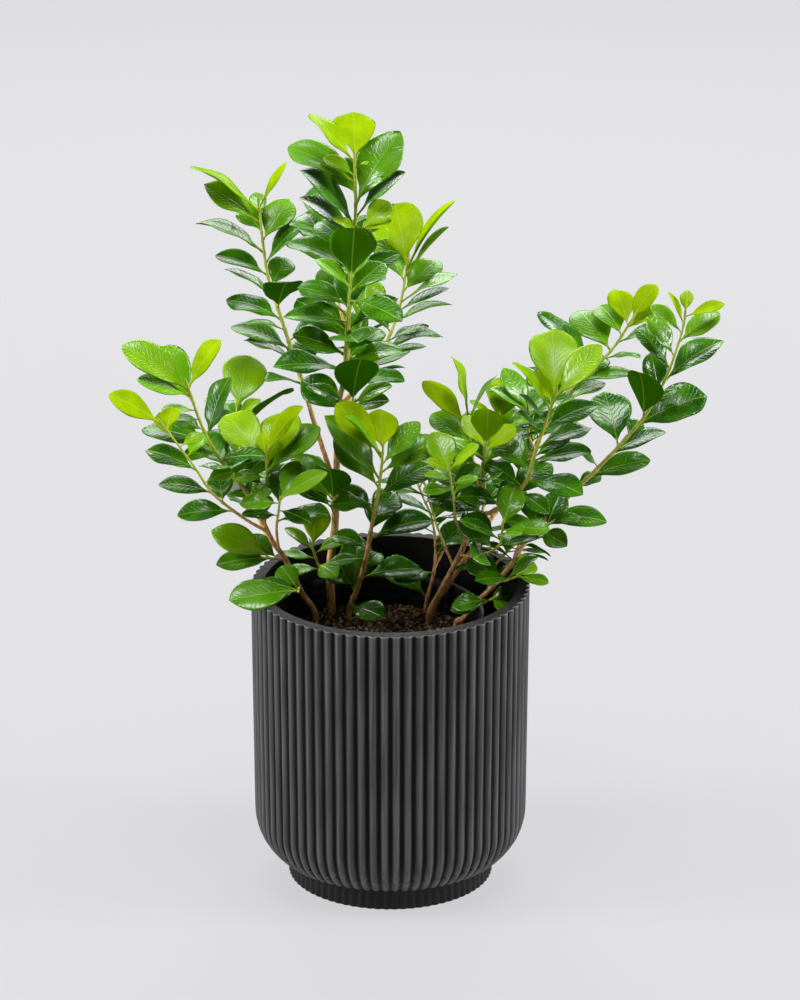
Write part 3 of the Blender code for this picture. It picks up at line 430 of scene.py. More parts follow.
def planter_profile():
    """The planter's outline, from the middle of its foot round to the middle of its inner floor."""
    reach = math.degrees(math.asin((EDGE_TOP - FOOT_HEIGHT) / EDGE_ROUND))
    lower = (LOWER_RADIUS - EDGE_ROUND, EDGE_TOP)
    points = [(0.0, 0.0, 0.0), (FOOT_RADIUS - 0.008, 0.0, 0.0), (FOOT_RADIUS - 0.001, 0.0, FOOT_RIDGE),
              (FOOT_RADIUS, 0.001, FOOT_RIDGE), (FOOT_RADIUS, 0.5 * FOOT_HEIGHT, FOOT_RIDGE),
              (FOOT_RADIUS, FOOT_HEIGHT, FOOT_RIDGE)]
    edge = corner(lower, EDGE_ROUND, -reach, 0.0, 1.0, EDGE_STEPS)
    edge = [(radius, height, EDGE_RIDGE + (1.0 - EDGE_RIDGE) * step / EDGE_STEPS)
            for step, (radius, height, _) in enumerate(edge)]
    points += [(edge[0][0] - 0.0012, FOOT_HEIGHT, EDGE_RIDGE),
               (edge[0][0] - 0.0003, FOOT_HEIGHT + 0.0003, EDGE_RIDGE)]
    points += edge[1:]
    points += [(0.5 * (LOWER_RADIUS + PLANTER_RADIUS), BELLY_HEIGHT, 1.0)]
    points += corner((PLANTER_RADIUS - RIM_ROUND, PLANTER_HEIGHT - RIM_ROUND), RIM_ROUND, 0.0, 90.0, 1.0)
    points += [(PLANTER_RADIUS - RIM_ROUND - 0.0006, PLANTER_HEIGHT, 0.85),
               (PLANTER_RADIUS - RIM_ROUND - RIDGE_DEPTH - 0.0008, PLANTER_HEIGHT, 0.0)]
    points += corner((INNER_RADIUS + RIM_ROUND, PLANTER_HEIGHT - RIM_ROUND), RIM_ROUND, 90.0, 180.0, 0.0)
    points += [(INNER_RADIUS - 0.004, PLANTER_FLOOR + 0.004, 0.0),
               (INNER_RADIUS - 0.008, PLANTER_FLOOR, 0.0), (0.0, PLANTER_FLOOR, 0.0)]
    return points


charcoal = Finish("charcoal_composite", roughness=0.6, specular_ior_level=0.14)
groove_depth = charcoal.carried("groove")
cloudy = charcoal.noise(14.0, 3.0)
streaky = charcoal.noise(260.0, 3.0, stretch=(1.0, 1.0, 0.04))
speck = charcoal.noise(1900.0, 2.0).step_up(0.66, 0.74)
charcoal_tone = (0.5 * cloudy + 0.5 * streaky).step_up(0.3, 0.7).blend(*CHARCOALS)
charcoal_tone = (speck * 0.5).blend(charcoal_tone, (0.10, 0.098, 0.10))
# Painted shade: deep in each groove the colour goes near-black, standing in for the shade there.
charcoal_tone = groove_depth.step_up(0.30, 0.95).blend(charcoal_tone, GROOVE_PAINTED_SHADE)
spot = charcoal.place()
height = spot.part(2)
# Painted shade: everything inside the rim's inner edge, down to the inner floor, is coloured near-black.
inside = spot.from_axis().step_up(INNER_RADIUS + 0.0012, INNER_RADIUS + 0.0002)
inside = inside * height.step_up(PLANTER_FLOOR - 0.0025, PLANTER_FLOOR - 0.0005)
charcoal_tone = inside.blend(charcoal_tone, INSIDE_PAINTED_SHADE)
# Painted shade: the rim's flat top is coloured almost black, darker than the light on it would leave it.
rim_top = height.step_up(PLANTER_HEIGHT - 0.0006, PLANTER_HEIGHT - 0.0001)
charcoal_tone = (rim_top * 0.9).blend(charcoal_tone, (0.008, 0.008, 0.0085))
# Painted highlight: a pale band round the rim's rounded outer edge, where it catches the light.
painted_rim_highlight = height.step_up(PLANTER_HEIGHT - 0.0022, PLANTER_HEIGHT - 0.0012) * (1.0 - rim_top) * (1.0 - inside)
charcoal_tone = (painted_rim_highlight * 0.55).blend(charcoal_tone, (0.17, 0.17, 0.18))
# Painted shade: the foot, tucked under the round lower edge, is coloured near-black.
foot = height.step_up(FOOT_HEIGHT + 0.0004, FOOT_HEIGHT - 0.0010)
charcoal_tone = (foot * 0.92).blend(charcoal_tone, (0.006, 0.006, 0.0063))
charcoal.feeds(base_color=charcoal_tone)
charcoal.bump(charcoal.noise(900.0, 4.0, 0.6) + 0.4 * charcoal.noise(120.0, 3.0), 0.25, 0.0004)
crown = groove_depth.step_up(0.85, 0.0) * (1.0 - inside) * (1.0 - rim_top) * (1.0 - 0.85 * foot)
charcoal.varnish(crown * (0.5 + 0.5 * streaky.step_up(0.3, 0.7)), 0.44, 1.05)

pot_turning = turning_tree()
fluted_planter = turned_piece("fluted_planter", planter_profile(), RIDGES * RIDGE_STEPS + 1, charcoal,
                              RIDGES, RIDGE_DEPTH)
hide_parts("planter")
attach(fluted_planter, "root")


# Nursery pot. A thin black plastic grow pot with a rolled lip and shallow rings round its wall.
# It stands loose on the planter's inner floor, a little left of the middle.
POT_SHIFT = -0.015
POT_FLOOR = PLANTER_FLOOR + 0.0003
POT_TOP = 0.283
POT_LIP_RADIUS = 0.110
POT_LIP_DROP = 0.014
POT_TOP_RADIUS = 0.1058
POT_BASE_RADIUS = 0.084
POT_WALL = 0.0018
POT_LIP_ROUND = 0.0016
POT_RING = 0.0045
POT_RING_DEPTH = 0.0005
POT_COLUMNS = 161


def pot_inner_radius(height):
    """The nursery pot's inner radius at a height."""
    share = (height - POT_FLOOR) / (POT_TOP - POT_FLOOR)
    return POT_BASE_RADIUS + (POT_TOP_RADIUS - POT_BASE_RADIUS) * share - POT_WALL


def pot_profile():
    """The nursery pot's outline, from under its floor, up its outside, over the lip and down its inside."""
    lip_bottom = POT_TOP - POT_LIP_DROP
    points = [(0.0, POT_FLOOR), (POT_BASE_RADIUS - 0.002, POT_FLOOR), (POT_BASE_RADIUS, POT_FLOOR + 0.002),
              (pot_inner_radius(lip_bottom) + POT_WALL, lip_bottom), (POT_LIP_RADIUS - 0.0008, lip_bottom),
              (POT_LIP_RADIUS, lip_bottom + 0.0008)]
    lip_centre = (POT_LIP_RADIUS - POT_LIP_ROUND, POT_TOP - POT_LIP_ROUND)
    points += [point[:2] for point in corner(lip_centre, POT_LIP_ROUND, 0.0, 90.0, 0.0)]
    points += [(pot_inner_radius(POT_TOP) + 0.0012, POT_TOP),
               (pot_inner_radius(POT_TOP) + 0.0002, POT_TOP - 0.0010)]
    height = POT_TOP - 0.006
    while height > POT_FLOOR + 3.0 * POT_RING:
        radius = pot_inner_radius(height)
        points += [(radius, height), (radius - POT_RING_DEPTH, height - 0.3 * POT_RING),
                   (radius - POT_RING_DEPTH, height - 0.6 * POT_RING), (radius, height - 0.9 * POT_RING)]
        height -= 2.0 * POT_RING
    points += [(pot_inner_radius(POT_FLOOR + POT_WALL), POT_FLOOR + POT_WALL), (0.0, POT_FLOOR + POT_WALL)]
    return [(radius, height, 0.0) for radius, height in points]


black_plastic = Finish("black_plastic", specular_ior_level=0.22)
dusty = black_plastic.noise(60.0, 4.0).step_up(0.5, 0.8)
black_plastic.feeds(base_color=dusty.blend((0.0055, 0.0055, 0.006), (0.018, 0.016, 0.015)),
                    roughness=0.52 + 0.2 * dusty)
black_plastic.bump(black_plastic.noise(700.0, 2.0), 0.15, 0.0003)

grow_pot = turned_piece("grow_pot", pot_profile(), POT_COLUMNS, black_plastic)
grow_pot.data.transform(Matrix.Translation((POT_SHIFT, 0.0, 0.0)))
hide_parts("nursery_pot")
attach(grow_pot, "root")


# Potting mix. Loose brown bark and peat crumbs with pale grains of perlite, filled by hand into
# the nursery pot to 33 mm under its lip, so its top is lumpy.
SOIL_TOP = 0.250
SOIL_FLOOR = POT_FLOOR + POT_WALL + 0.0003
SOIL_RINGS = 70
SOIL_COLUMNS = 241
SOIL_GAP = 0.0006
LUMP_HEIGHT = 0.016
GRAIN_HEIGHT = 0.0022
CRUMBS = 2400
CRUMB_SIZE = 0.0026
SMALLEST_CRUMB = (0.35, 0.3, 0.25)
LARGEST_CRUMB = (1.5, 1.0, 0.8)
CRUMB_SEED = 4


def joined(first, second):
    """Two geometries as one."""
    made = first.node("GeometryNodeJoinGeometry")
    for part in (first, second):
        made.feed(made.socket.node.inputs[0], part)
    return made


def mix_tree():
    """The lumpy top of the mix, and crumbs strewn over it."""
    start, given = new_tree("potting_mix", Crumbs="Float", Size="Float", Seed="Int", Finish="Material")
    spot = start.node("GeometryNodeInputPosition")
    lumps = start.node("ShaderNodeTexNoise", None, {
        "Vector": spot, "Scale": 42.0, "Detail": 5.0, "Roughness": 0.65})
    cells = start.node("ShaderNodeTexVoronoi", None, {"Vector": spot, "Scale": 260.0}, "Distance")
    on_top = spot.part(2).step_up(SOIL_TOP - 0.004, SOIL_TOP - 0.001)
    lift = ((lumps - 0.55) * LUMP_HEIGHT + (0.4 - cells) * GRAIN_HEIGHT) * on_top
    raised = start.node("GeometryNodeSetPosition", None, {
        "Geometry": given["Geometry"], "Offset": start.vector(0.0, 0.0, lift)})
    strewn = start.node("GeometryNodeDistributePointsOnFaces", None, {
        "Mesh": raised, "Density": given["Crumbs"], "Seed": given["Seed"],
        "Selection": start.node("FunctionNodeCompare", {"data_type": "FLOAT", "operation": "GREATER_THAN"},
                                {0: spot.part(2), 1: SOIL_TOP - 0.012})})
    crumb = start.node("GeometryNodeMeshIcoSphere", None, {"Radius": 1.0, "Subdivisions": 1})
    rough = start.node("ShaderNodeTexNoise", None, {"Vector": spot, "Scale": 1.3, "Detail": 1.0}, "Color")
    crumb = start.node("GeometryNodeSetPosition", None, {"Geometry": crumb, "Offset": (rough - 0.5) * 1.1})
    chance = start.node("FunctionNodeRandomValue", {"data_type": "FLOAT"}, {"Seed": given["Seed"]}, 1)
    sizes = start.node("FunctionNodeRandomValue", {"data_type": "FLOAT_VECTOR"},
                       {0: SMALLEST_CRUMB, 1: LARGEST_CRUMB, "Seed": given["Seed"]})
    turns = start.node("FunctionNodeRandomValue", {"data_type": "FLOAT_VECTOR"},
                       {0: (0.0, 0.0, 0.0), 1: (math.tau, math.tau, math.tau), "Seed": given["Seed"]})
    crumbs = start.node("GeometryNodeInstanceOnPoints", None, {
        "Points": marked(strewn, "crumb", 0.05 + 0.95 * chance), "Instance": crumb,
        "Scale": sizes * given["Size"], "Rotation": turns})
    crumbs = start.node("GeometryNodeRealizeInstances", None, {"Geometry": crumbs})
    end_tree(joined(raised, crumbs), given["Finish"])
    return start


mix_finish = Finish("potting_mix", roughness=0.95, specular_ior_level=0.25)
crumb_kind = mix_finish.carried("crumb")
damp = mix_finish.noise(70.0, 3.0)
fine = mix_finish.noise(900.0, 4.0, 0.7)
bare_tone = fine.blend((0.020, 0.013, 0.009), (0.17, 0.095, 0.052))
crumb_tone = mix_finish.start.node("ShaderNodeValToRGB", {"stops": [
    (0.05, (0.034, 0.020, 0.013)), (0.26, (0.14, 0.074, 0.043)), (0.50, (0.33, 0.175, 0.090)),
    (0.74, (0.52, 0.31, 0.170)), (0.86, (0.70, 0.53, 0.36)), (0.95, (0.88, 0.80, 0.68))]},
    {"Fac": crumb_kind})
mix_tone = crumb_kind.step_up(0.01, 0.04).blend(bare_tone, crumb_tone)
mix_tone = (damp.step_up(0.35, 0.7) * 0.55).blend(mix_tone, (0.018, 0.010, 0.007))
mix_finish.feeds(base_color=mix_tone)
mix_finish.bump(fine, 0.5, 0.0008)

soil_radius = pot_inner_radius(SOIL_TOP) - SOIL_GAP
soil_profile = [(0.0, SOIL_FLOOR, 0.0), (pot_inner_radius(SOIL_FLOOR) - SOIL_GAP, SOIL_FLOOR, 0.0)]
soil_profile += [(soil_radius * (1.0 - ring / SOIL_RINGS), SOIL_TOP, 0.0) for ring in range(SOIL_RINGS + 1)]
strewn_mix = turned_piece("strewn_mix", soil_profile, SOIL_COLUMNS, mix_finish)
strewn_mix.data.transform(Matrix.Translation((POT_SHIFT, 0.0, 0.0)))
mix_top_area = math.pi * soil_radius ** 2
run_tree(strewn_mix, mix_tree(), Crumbs=CRUMBS / mix_top_area, Size=CRUMB_SIZE, Seed=CRUMB_SEED,
         Finish=mix_finish.material)
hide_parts("potting_mix")
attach(strewn_mix, "root")


# Stems and leaves. Each rooted stem with all that grows on it is one piece: brown woody shoots that
# turn green towards their tips, and thick glossy leaves on short stalks, small and yellow-green at
# the tips. A route runs from base to tip, and the leaves that show plainly are listed with it.
UP = Vector((0.0, 0.0, 1.0))
ROOT_END = 0.205
ROOT_RISE = 0.006
SOIL_BUMP = 0.003
GOLDEN_ANGLE = 137.5
LEAF_GROWTH = 1.12
STALK_SHARE = 0.15
BLADE_RISE = 1.0
BLADE_FALL = 0.74
TIP_SHARPENS = 0.12
BLADE_THICK = 0.0014
STALK_THICK = 0.0011
FOLD = math.radians(19.0)
LEAVES_TO_RIPEN = 8.0
SPIRAL_LIFT = 38.0
LIFT_FALLS = 24.0
LIFT_STRAYS = 10.0
BEARING_STRAYS = 14.0
BLADE_SHARE = 0.50
ARCH = 18.0
ARCH_STRAYS = 9.0
LIGHT = Vector((0.1, -0.80, 0.60)).normalized()
TURN_TO_LIGHT = 18.0
LEAF_CLEARANCE = 0.0007
STEM_CLEARANCE = 0.0006
RIM_CLEARANCE = 0.0015
GUARD_SIDES = 6
GUARD_ROUTE_STEPS = 3
GUARD_STEPS = 48
GUARD_SWELL = 1.12
NEAR_LEAVES = 0.01
SITE_STEPS = 12
FIRST_LEAF = 0.006
TIP_GAPS = (0.35, 0.5, 0.65, 0.8, 0.9)
TURNS = ((0, 0), (10, 0), (-10, 0), (0, 10), (0, -10), (20, 0), (-20, 0), (15, 12), (-15, 12), (15, -12),
         (-15, -12), (30, 5), (-30, 5), (40, 0), (-40, 0), (35, 18), (-35, 18), (55, 5), (-55, 5))
SHRINKS = (1.0, 0.86)
ROUTE_STEPS = 14
BUD_LENGTH = 0.009
BUD_FORM = ((0.15, 1.15), (0.4, 1.05), (0.7, 0.6), (0.9, 0.3), (1.0, 0.1))
JOINT_REACH = 0.0035
JOINT_SWELL = 0.28
BLADE_LONGER = 1.03
BLADE_WIDER = 1.10
BLADE_DEEP = 0.00034
BLADE_OPENS = 0.22
CREASE_ROUND = 0.00063
CREASE_SOFT = 0.0000004
RIB_HEIGHT = 0.00055
RIB_HALF = 0.0009
EDGE_CURL = 0.16
WAVE_TURNS = 11.0
WAVE_LAG = 0.9
TWIST_FROM = 0.2
VEIN_GAP = 0.0052
VEIN_SLANT = 0.75
LEAF_DRAW = 5
TRIM_DRAW = 11


class Shoot:
    """One shoot: its route from base to tip, its thickness, and how its leaves stand on it.

    thick is its thickness at the base and at the tip. leafy is how far down from the tip it has
    leaves, gap is the run of bare stem between two of them, and size is the usual leaf's length.
    tip_leaves lists the leaves that show plainly, from the tip down, each by the bearing that it
    points to seen from above (0 is +X, 90 is +Y), its lift over the horizontal and its length, and
    for some also by how far it turns its face to the front. Below them the leaves go on in a
    spiral, down to the end of the leafy length. ripe is the age of the leaves at the tip.
    """

    def __init__(self, route, thick, leafy, gap, size, tip_leaves, ripe=0.0, rooted=False):
        self.route = [Vector(point) for point in route]
        self.thick = thick
        self.leafy = leafy
        self.gap = gap
        self.size = size
        self.tip_leaves = tip_leaves
        self.ripe = ripe
        self.rooted = rooted
        if rooted:
            base = self.route[0]
            self.route[:1] = [Vector((base.x, base.y, height)) for height in (ROOT_END, SOIL_TOP + ROOT_RISE)]


STEMS = {
    "left_stem": (
        Shoot(((-0.076, 0.053, 0), (-0.090, 0.047, 0.284), (-0.106, 0.035, 0.325), (-0.119, 0.025, 0.350),
               (-0.133, 0.010, 0.388), (-0.146, -0.010, 0.419), (-0.168, -0.035, 0.459),
               (-0.185, -0.060, 0.504), (-0.199, -0.080, 0.557)),
              (0.0074, 0.0024), 0.198, 0.0135, 0.055,
              ((20, 55, 0.050, 5), (173, 34, 0.071), (200, 24, 0.053), (136, 40, 0.063, 35),
               (200, 10, 0.032), (215, 12, 0.030), (160, 12, 0.032), (28, 68, 0.058, 5),
               (162, 7, 0.066, 15), (195, 0, 0.030), (350, 10, 0.040), (120, 20, 0.050)), rooted=True),
        Shoot(((-0.124, 0.018, 0.362), (-0.148, -0.010, 0.389), (-0.176, -0.050, 0.430),
               (-0.194, -0.085, 0.474), (-0.224, -0.118, 0.532)),
              (0.0036, 0.0018), 0.186, 0.0245, 0.054,
              ((178, 31, 0.054), (80, 30, 0.026), (120, 30, 0.028), (20, 20, 0.024), (60, 20, 0.030),
               (165, 17, 0.049, 25), (30, 10, 0.028), (186, 12, 0.049), (100, 25, 0.034),
               (182, -4, 0.050, 20))),
        Shoot(((-0.112, 0.030, 0.336), (-0.114, 0.010, 0.367), (-0.111, -0.025, 0.402),
               (-0.109, -0.055, 0.427)),
              (0.0032, 0.0018), 0.080, 0.015, 0.046,
              ((5, 30, 0.048, 0), (62, 31, 0.044), (195, 5, 0.036), (120, 30, 0.038), (330, -10, 0.034),
               (200, 10, 0.034)), ripe=0.45),
        Shoot(((-0.136, 0.004, 0.396), (-0.146, 0.040, 0.415), (-0.153, 0.075, 0.440),
               (-0.155, 0.095, 0.468)),
              (0.0034, 0.0018), 0.098, 0.013, 0.052,
              ((80, 30, 0.064, 45), (160, 20, 0.034), (40, 30, 0.030), (110, 20, 0.040), (12, 42, 0.067),
               (150, 10, 0.040), (330, 25, 0.045)), ripe=0.2),
        Shoot(((-0.126, 0.017, 0.368), (-0.124, 0.0, 0.409), (-0.123, -0.025, 0.440),
               (-0.123, -0.040, 0.473)),
              (0.0032, 0.0018), 0.100, 0.012, 0.050,
              ((18, 50, 0.052, 5), (100, 40, 0.024), (143, 36, 0.064, 45), (72, 38, 0.058, 10),
               (28, 42, 0.062, 25), (184, 0, 0.028), (270, 8, 0.026), (150, 25, 0.050), (60, 20, 0.046))),
        Shoot(((-0.104, 0.037, 0.321), (-0.128, 0.075, 0.340), (-0.146, 0.115, 0.376)),
              (0.0032, 0.0018), 0.052, 0.015, 0.050,
              ((100, 40, 0.052), (180, 30, 0.052)), ripe=0.5),
        Shoot(((-0.106, 0.035, 0.324), (-0.114, 0.026, 0.329), (-0.124, 0.016, 0.334)),
              (0.0028, 0.0018), 0.022, 0.012, 0.045,
              ((172, 24, 0.058), (193, -2, 0.052, 10), (150, 30, 0.034)), ripe=0.45),
        Shoot(((-0.091, 0.046, 0.288), (-0.092, 0.010, 0.304), (-0.092, -0.036, 0.319)),
              (0.0028, 0.0018), 0.030, 0.011, 0.034,
              ((200, -10, 0.064, 5), (190, 15, 0.034), (120, 20, 0.034), (250, 0, 0.030)), ripe=0.5),
    ),
    "centre_stem": (
        Shoot(((-0.060, 0.074, 0), (-0.061, 0.078, 0.300), (-0.056, 0.080, 0.345), (-0.054, 0.076, 0.413),
               (-0.051, 0.065, 0.483), (-0.045, 0.060, 0.514), (-0.042, 0.050, 0.573),
               (-0.036, 0.045, 0.641), (-0.034, 0.040, 0.701), (-0.035, 0.030, 0.757)),
              (0.0094, 0.0024), 0.262, 0.0125, 0.056,
              ((92, 28, 0.057), (165, 45, 0.058, 0), (300, 25, 0.024), (150, 20, 0.034), (167, 31, 0.070),
               (115, 25, 0.046, 30), (32, 52, 0.075, 60), (0, 44, 0.060), (182, 49, 0.074),
               (176, 38, 0.062), (130, 16, 0.052, 35), (60, 35, 0.050), (162, 19, 0.066), (20, 25, 0.050),
               (320, 30, 0.046)), rooted=True),
        Shoot(((-0.055, 0.078, 0.385), (-0.070, 0.084, 0.432), (-0.078, 0.095, 0.454),
               (-0.086, 0.105, 0.480), (-0.094, 0.115, 0.502), (-0.106, 0.125, 0.538),
               (-0.122, 0.140, 0.586), (-0.128, 0.145, 0.623), (-0.132, 0.150, 0.666)),
              (0.0056, 0.0022), 0.196, 0.0115, 0.052,
              ((10, 58, 0.047, 10), (181, 35, 0.074), (100, 40, 0.026), (166, 33, 0.061, 35),
               (118, 20, 0.040), (56, 32, 0.050, 30), (172, 22, 0.066), (17, 52, 0.056), (160, 14, 0.052),
               (67, 22, 0.040, 30), (172, 28, 0.050), (285, 45, 0.056), (158, 12, 0.055), (185, 12, 0.036),
               (40, 10, 0.044), (162, 16, 0.060), (172, 22, 0.050, 0), (95, 28, 0.044, 30))),
        Shoot(((-0.051, 0.066, 0.480), (-0.046, 0.035, 0.530), (-0.042, -0.005, 0.600),
               (-0.038, -0.035, 0.653)),
              (0.0042, 0.0020), 0.138, 0.012, 0.052,
              ((277, 65, 0.064), (86, 38, 0.050), (150, 30, 0.040), (45, 22, 0.046), (326, -8, 0.056),
               (165, 16, 0.048), (60, 25, 0.050), (188, 8, 0.056), (155, 15, 0.048)), ripe=0.3),
        Shoot(((-0.051, 0.066, 0.478), (-0.028, 0.080, 0.500), (-0.004, 0.105, 0.531),
               (0.010, 0.125, 0.565), (0.018, 0.140, 0.607)),
              (0.0046, 0.0020), 0.150, 0.011, 0.052,
              ((101, 34, 0.068, 25), (0, 56, 0.077), (0, 60, 0.059, 0), (118, 32, 0.054),
               (47, 19, 0.050, 40), (12, 27, 0.056), (12, 22, 0.049), (10, 14, 0.054), (125, 25, 0.046),
               (15, 16, 0.040), (10, 10, 0.056), (12, 12, 0.046), (165, 20, 0.046), (20, 14, 0.038))),
        Shoot(((-0.052, 0.068, 0.470), (-0.044, 0.030, 0.486), (-0.036, 0.008, 0.506)),
              (0.0030, 0.0018), 0.046, 0.012, 0.044,
              ((285, 60, 0.060), (340, 30, 0.044), (190, 30, 0.044)), ripe=0.5),
        Shoot(((-0.054, 0.076, 0.416), (-0.045, 0.120, 0.440), (-0.038, 0.160, 0.472),
               (-0.030, 0.185, 0.522)),
              (0.0038, 0.0018), 0.070, 0.015, 0.052,
              ((80, 45, 0.058), (190, 35, 0.052), (320, 35, 0.050)), ripe=0.4),
        Shoot(((-0.043, 0.052, 0.560), (-0.055, 0.095, 0.595), (-0.060, 0.125, 0.648)),
              (0.0032, 0.0018), 0.062, 0.0135, 0.050,
              ((110, 40, 0.050), (210, 25, 0.046), (350, 40, 0.048)), ripe=0.5),
        Shoot(((-0.061, 0.077, 0.292), (-0.071, 0.062, 0.304), (-0.080, 0.050, 0.336)),
              (0.0028, 0.0018), 0.040, 0.010, 0.036,
              ((62, 42, 0.044), (165, 35, 0.032), (20, 20, 0.032), (180, 8, 0.032), (300, 0, 0.034),
               (190, -4, 0.034))),
        Shoot(((-0.036, 0.044, 0.648), (-0.031, 0.030, 0.668), (-0.026, 0.016, 0.688)),
              (0.0026, 0.0018), 0.026, 0.012, 0.040,
              ((82, 28, 0.036, 30), (20, 15, 0.028), (170, 30, 0.028))),
        Shoot(((-0.055, 0.079, 0.352), (-0.059, 0.056, 0.374), (-0.057, 0.035, 0.390)),
              (0.0030, 0.0018), 0.040, 0.012, 0.044,
              ((138, 34, 0.056, 35), (264, 54, 0.054), (160, 20, 0.046), (20, 15, 0.034)), ripe=0.6),
    ),
    "front_stem": (
        Shoot(((-0.042, 0.058, 0), (-0.034, 0.048, 0.286), (-0.025, 0.030, 0.325), (-0.019, 0.010, 0.369),
               (-0.014, -0.010, 0.403), (-0.010, -0.030, 0.437), (-0.007, -0.055, 0.480)),
              (0.0066, 0.0022), 0.262, 0.0135, 0.050,
              ((92, 30, 0.047), (143, 42, 0.060, 35), (192, 51, 0.062), (27, 42, 0.050),
               (22, 22, 0.061, 30), (158, 45, 0.074), (148, 40, 0.060), (28, 20, 0.060, 25),
               (172, -4, 0.042, 25), (150, 25, 0.042), (60, 20, 0.044), (75, 20, 0.046), (15, 22, 0.060, 5),
               (150, 8, 0.038, 30), (190, -3, 0.034), (60, 10, 0.030), (14, 12, 0.058, 30),
               (180, 20, 0.034), (140, 50, 0.058, 30), (311, 4, 0.046, 50)), rooted=True),
    ),
    "right_stem": (
        Shoot(((0.039, 0.048, 0), (0.050, 0.044, 0.284), (0.071, 0.030, 0.334), (0.085, 0.015, 0.376),
               (0.102, 0.006, 0.388), (0.120, 0.0, 0.404), (0.136, -0.015, 0.430), (0.142, -0.030, 0.459),
               (0.150, -0.045, 0.492), (0.163, -0.060, 0.540)),
              (0.0076, 0.0022), 0.200, 0.0115, 0.050,
              ((91, 38, 0.069, 25), (15, 47, 0.063), (108, 25, 0.042, 30), (150, 48, 0.054, 5),
               (335, 37, 0.047), (195, 50, 0.038), (20, 20, 0.054), (205, 55, 0.038), (12, 18, 0.052, 5),
               (5, 28, 0.037), (0, 14, 0.054), (132, 28, 0.050, 30), (328, -1, 0.058, 25), (150, 20, 0.044),
               (325, -20, 0.036, 25), (40, 25, 0.052, 20), (190, 20, 0.050), (60, 10, 0.046)), rooted=True),
        Shoot(((0.084, 0.016, 0.372), (0.090, 0.010, 0.402), (0.092, -0.005, 0.436),
               (0.095, -0.022, 0.474)),
              (0.0036, 0.0018), 0.090, 0.013, 0.050,
              ((275, 60, 0.050), (130, 40, 0.036), (30, 30, 0.036), (200, 30, 0.044), (60, 25, 0.048))),
        Shoot(((0.076, 0.025, 0.350), (0.066, 0.0, 0.380), (0.063, -0.030, 0.415), (0.058, -0.060, 0.462)),
              (0.0030, 0.0016), 0.055, 0.010, 0.034,
              ((350, 45, 0.036), (190, 32, 0.024), (100, 30, 0.044, 20), (185, 10, 0.024), (0, 15, 0.024),
               (200, 5, 0.028), (40, 35, 0.038))),
        Shoot(((0.086, 0.014, 0.378), (0.088, 0.030, 0.402), (0.082, 0.035, 0.438), (0.077, 0.040, 0.484)),
              (0.0034, 0.0018), 0.094, 0.013, 0.052,
              ((170, 75, 0.056, 12), (10, 58, 0.047, 0), (160, 40, 0.056), (70, 20, 0.034),
               (135, 18, 0.051, 30), (100, 25, 0.050), (220, 25, 0.048))),
        Shoot(((0.088, 0.027, 0.399), (0.098, 0.045, 0.420), (0.106, 0.052, 0.443), (0.109, 0.052, 0.470)),
              (0.0028, 0.0018), 0.060, 0.012, 0.050,
              ((80, 26, 0.054, 45), (200, 35, 0.036), (330, 25, 0.040), (60, 20, 0.044)), ripe=0.3),
        Shoot(((0.070, 0.031, 0.331), (0.088, -0.005, 0.345), (0.108, -0.030, 0.366),
               (0.112, -0.045, 0.396)),
              (0.0030, 0.0018), 0.062, 0.013, 0.044,
              ((60, 40, 0.044), (350, 5, 0.042), (300, 20, 0.036), (190, 30, 0.042)), ripe=0.55),
        Shoot(((0.064, 0.036, 0.316), (0.048, 0.070, 0.345), (0.034, 0.100, 0.385)),
              (0.0030, 0.0018), 0.060, 0.014, 0.046,
              ((140, 30, 0.046), (60, 20, 0.050), (200, 10, 0.044), (30, 10, 0.050)), ripe=0.7),
    ),
    "back_right_stem": (
        Shoot(((0.044, 0.066, 0), (0.056, 0.068, 0.279), (0.069, 0.068, 0.301), (0.086, 0.072, 0.325),
               (0.103, 0.086, 0.350), (0.124, 0.100, 0.372), (0.146, 0.112, 0.414), (0.168, 0.126, 0.455),
               (0.191, 0.136, 0.479), (0.212, 0.143, 0.496), (0.228, 0.149, 0.512), (0.246, 0.150, 0.542)),
              (0.0070, 0.0022), 0.245, 0.0120, 0.052,
              ((35, 45, 0.041), (106, 30, 0.042), (15, 30, 0.034), (115, 17, 0.046), (8, 14, 0.046),
               (118, 28, 0.062, 45), (350, 10, 0.036), (158, 42, 0.070, 5), (60, 20, 0.036),
               (12, 12, 0.055, 30), (150, 20, 0.044), (30, 10, 0.048), (110, 25, 0.050), (350, 16, 0.044),
               (280, 20, 0.046)), rooted=True),
        Shoot(((0.126, 0.101, 0.375), (0.140, 0.145, 0.388), (0.150, 0.180, 0.425)),
              (0.0034, 0.0018), 0.058, 0.015, 0.050,
              ((100, 40, 0.044), (10, 5, 0.040), (180, 35, 0.044)), ripe=0.5),
        Shoot(((0.086, 0.072, 0.326), (0.094, 0.115, 0.345), (0.098, 0.150, 0.385)),
              (0.0034, 0.0018), 0.058, 0.015, 0.050,
              ((90, 40, 0.054), (190, 30, 0.050), (0, 35, 0.046)), ripe=0.6),
        Shoot(((0.146, 0.112, 0.414), (0.140, 0.085, 0.440), (0.138, 0.062, 0.478)),
              (0.0030, 0.0018), 0.055, 0.013, 0.048,
              ((140, 50, 0.044), (170, 35, 0.042), (340, 30, 0.048)), ripe=0.5),
    ),
    "long_right_stem": (
        Shoot(((0.066, 0.026, 0), (0.074, 0.018, 0.268), (0.088, 0.008, 0.290), (0.098, 0.005, 0.302),
               (0.107, 0.004, 0.313), (0.123, 0.006, 0.334), (0.142, 0.010, 0.365), (0.156, 0.010, 0.380),
               (0.186, 0.005, 0.413), (0.220, -0.010, 0.456), (0.250, -0.025, 0.499),
               (0.263, -0.030, 0.525), (0.275, -0.035, 0.554), (0.287, -0.045, 0.600),
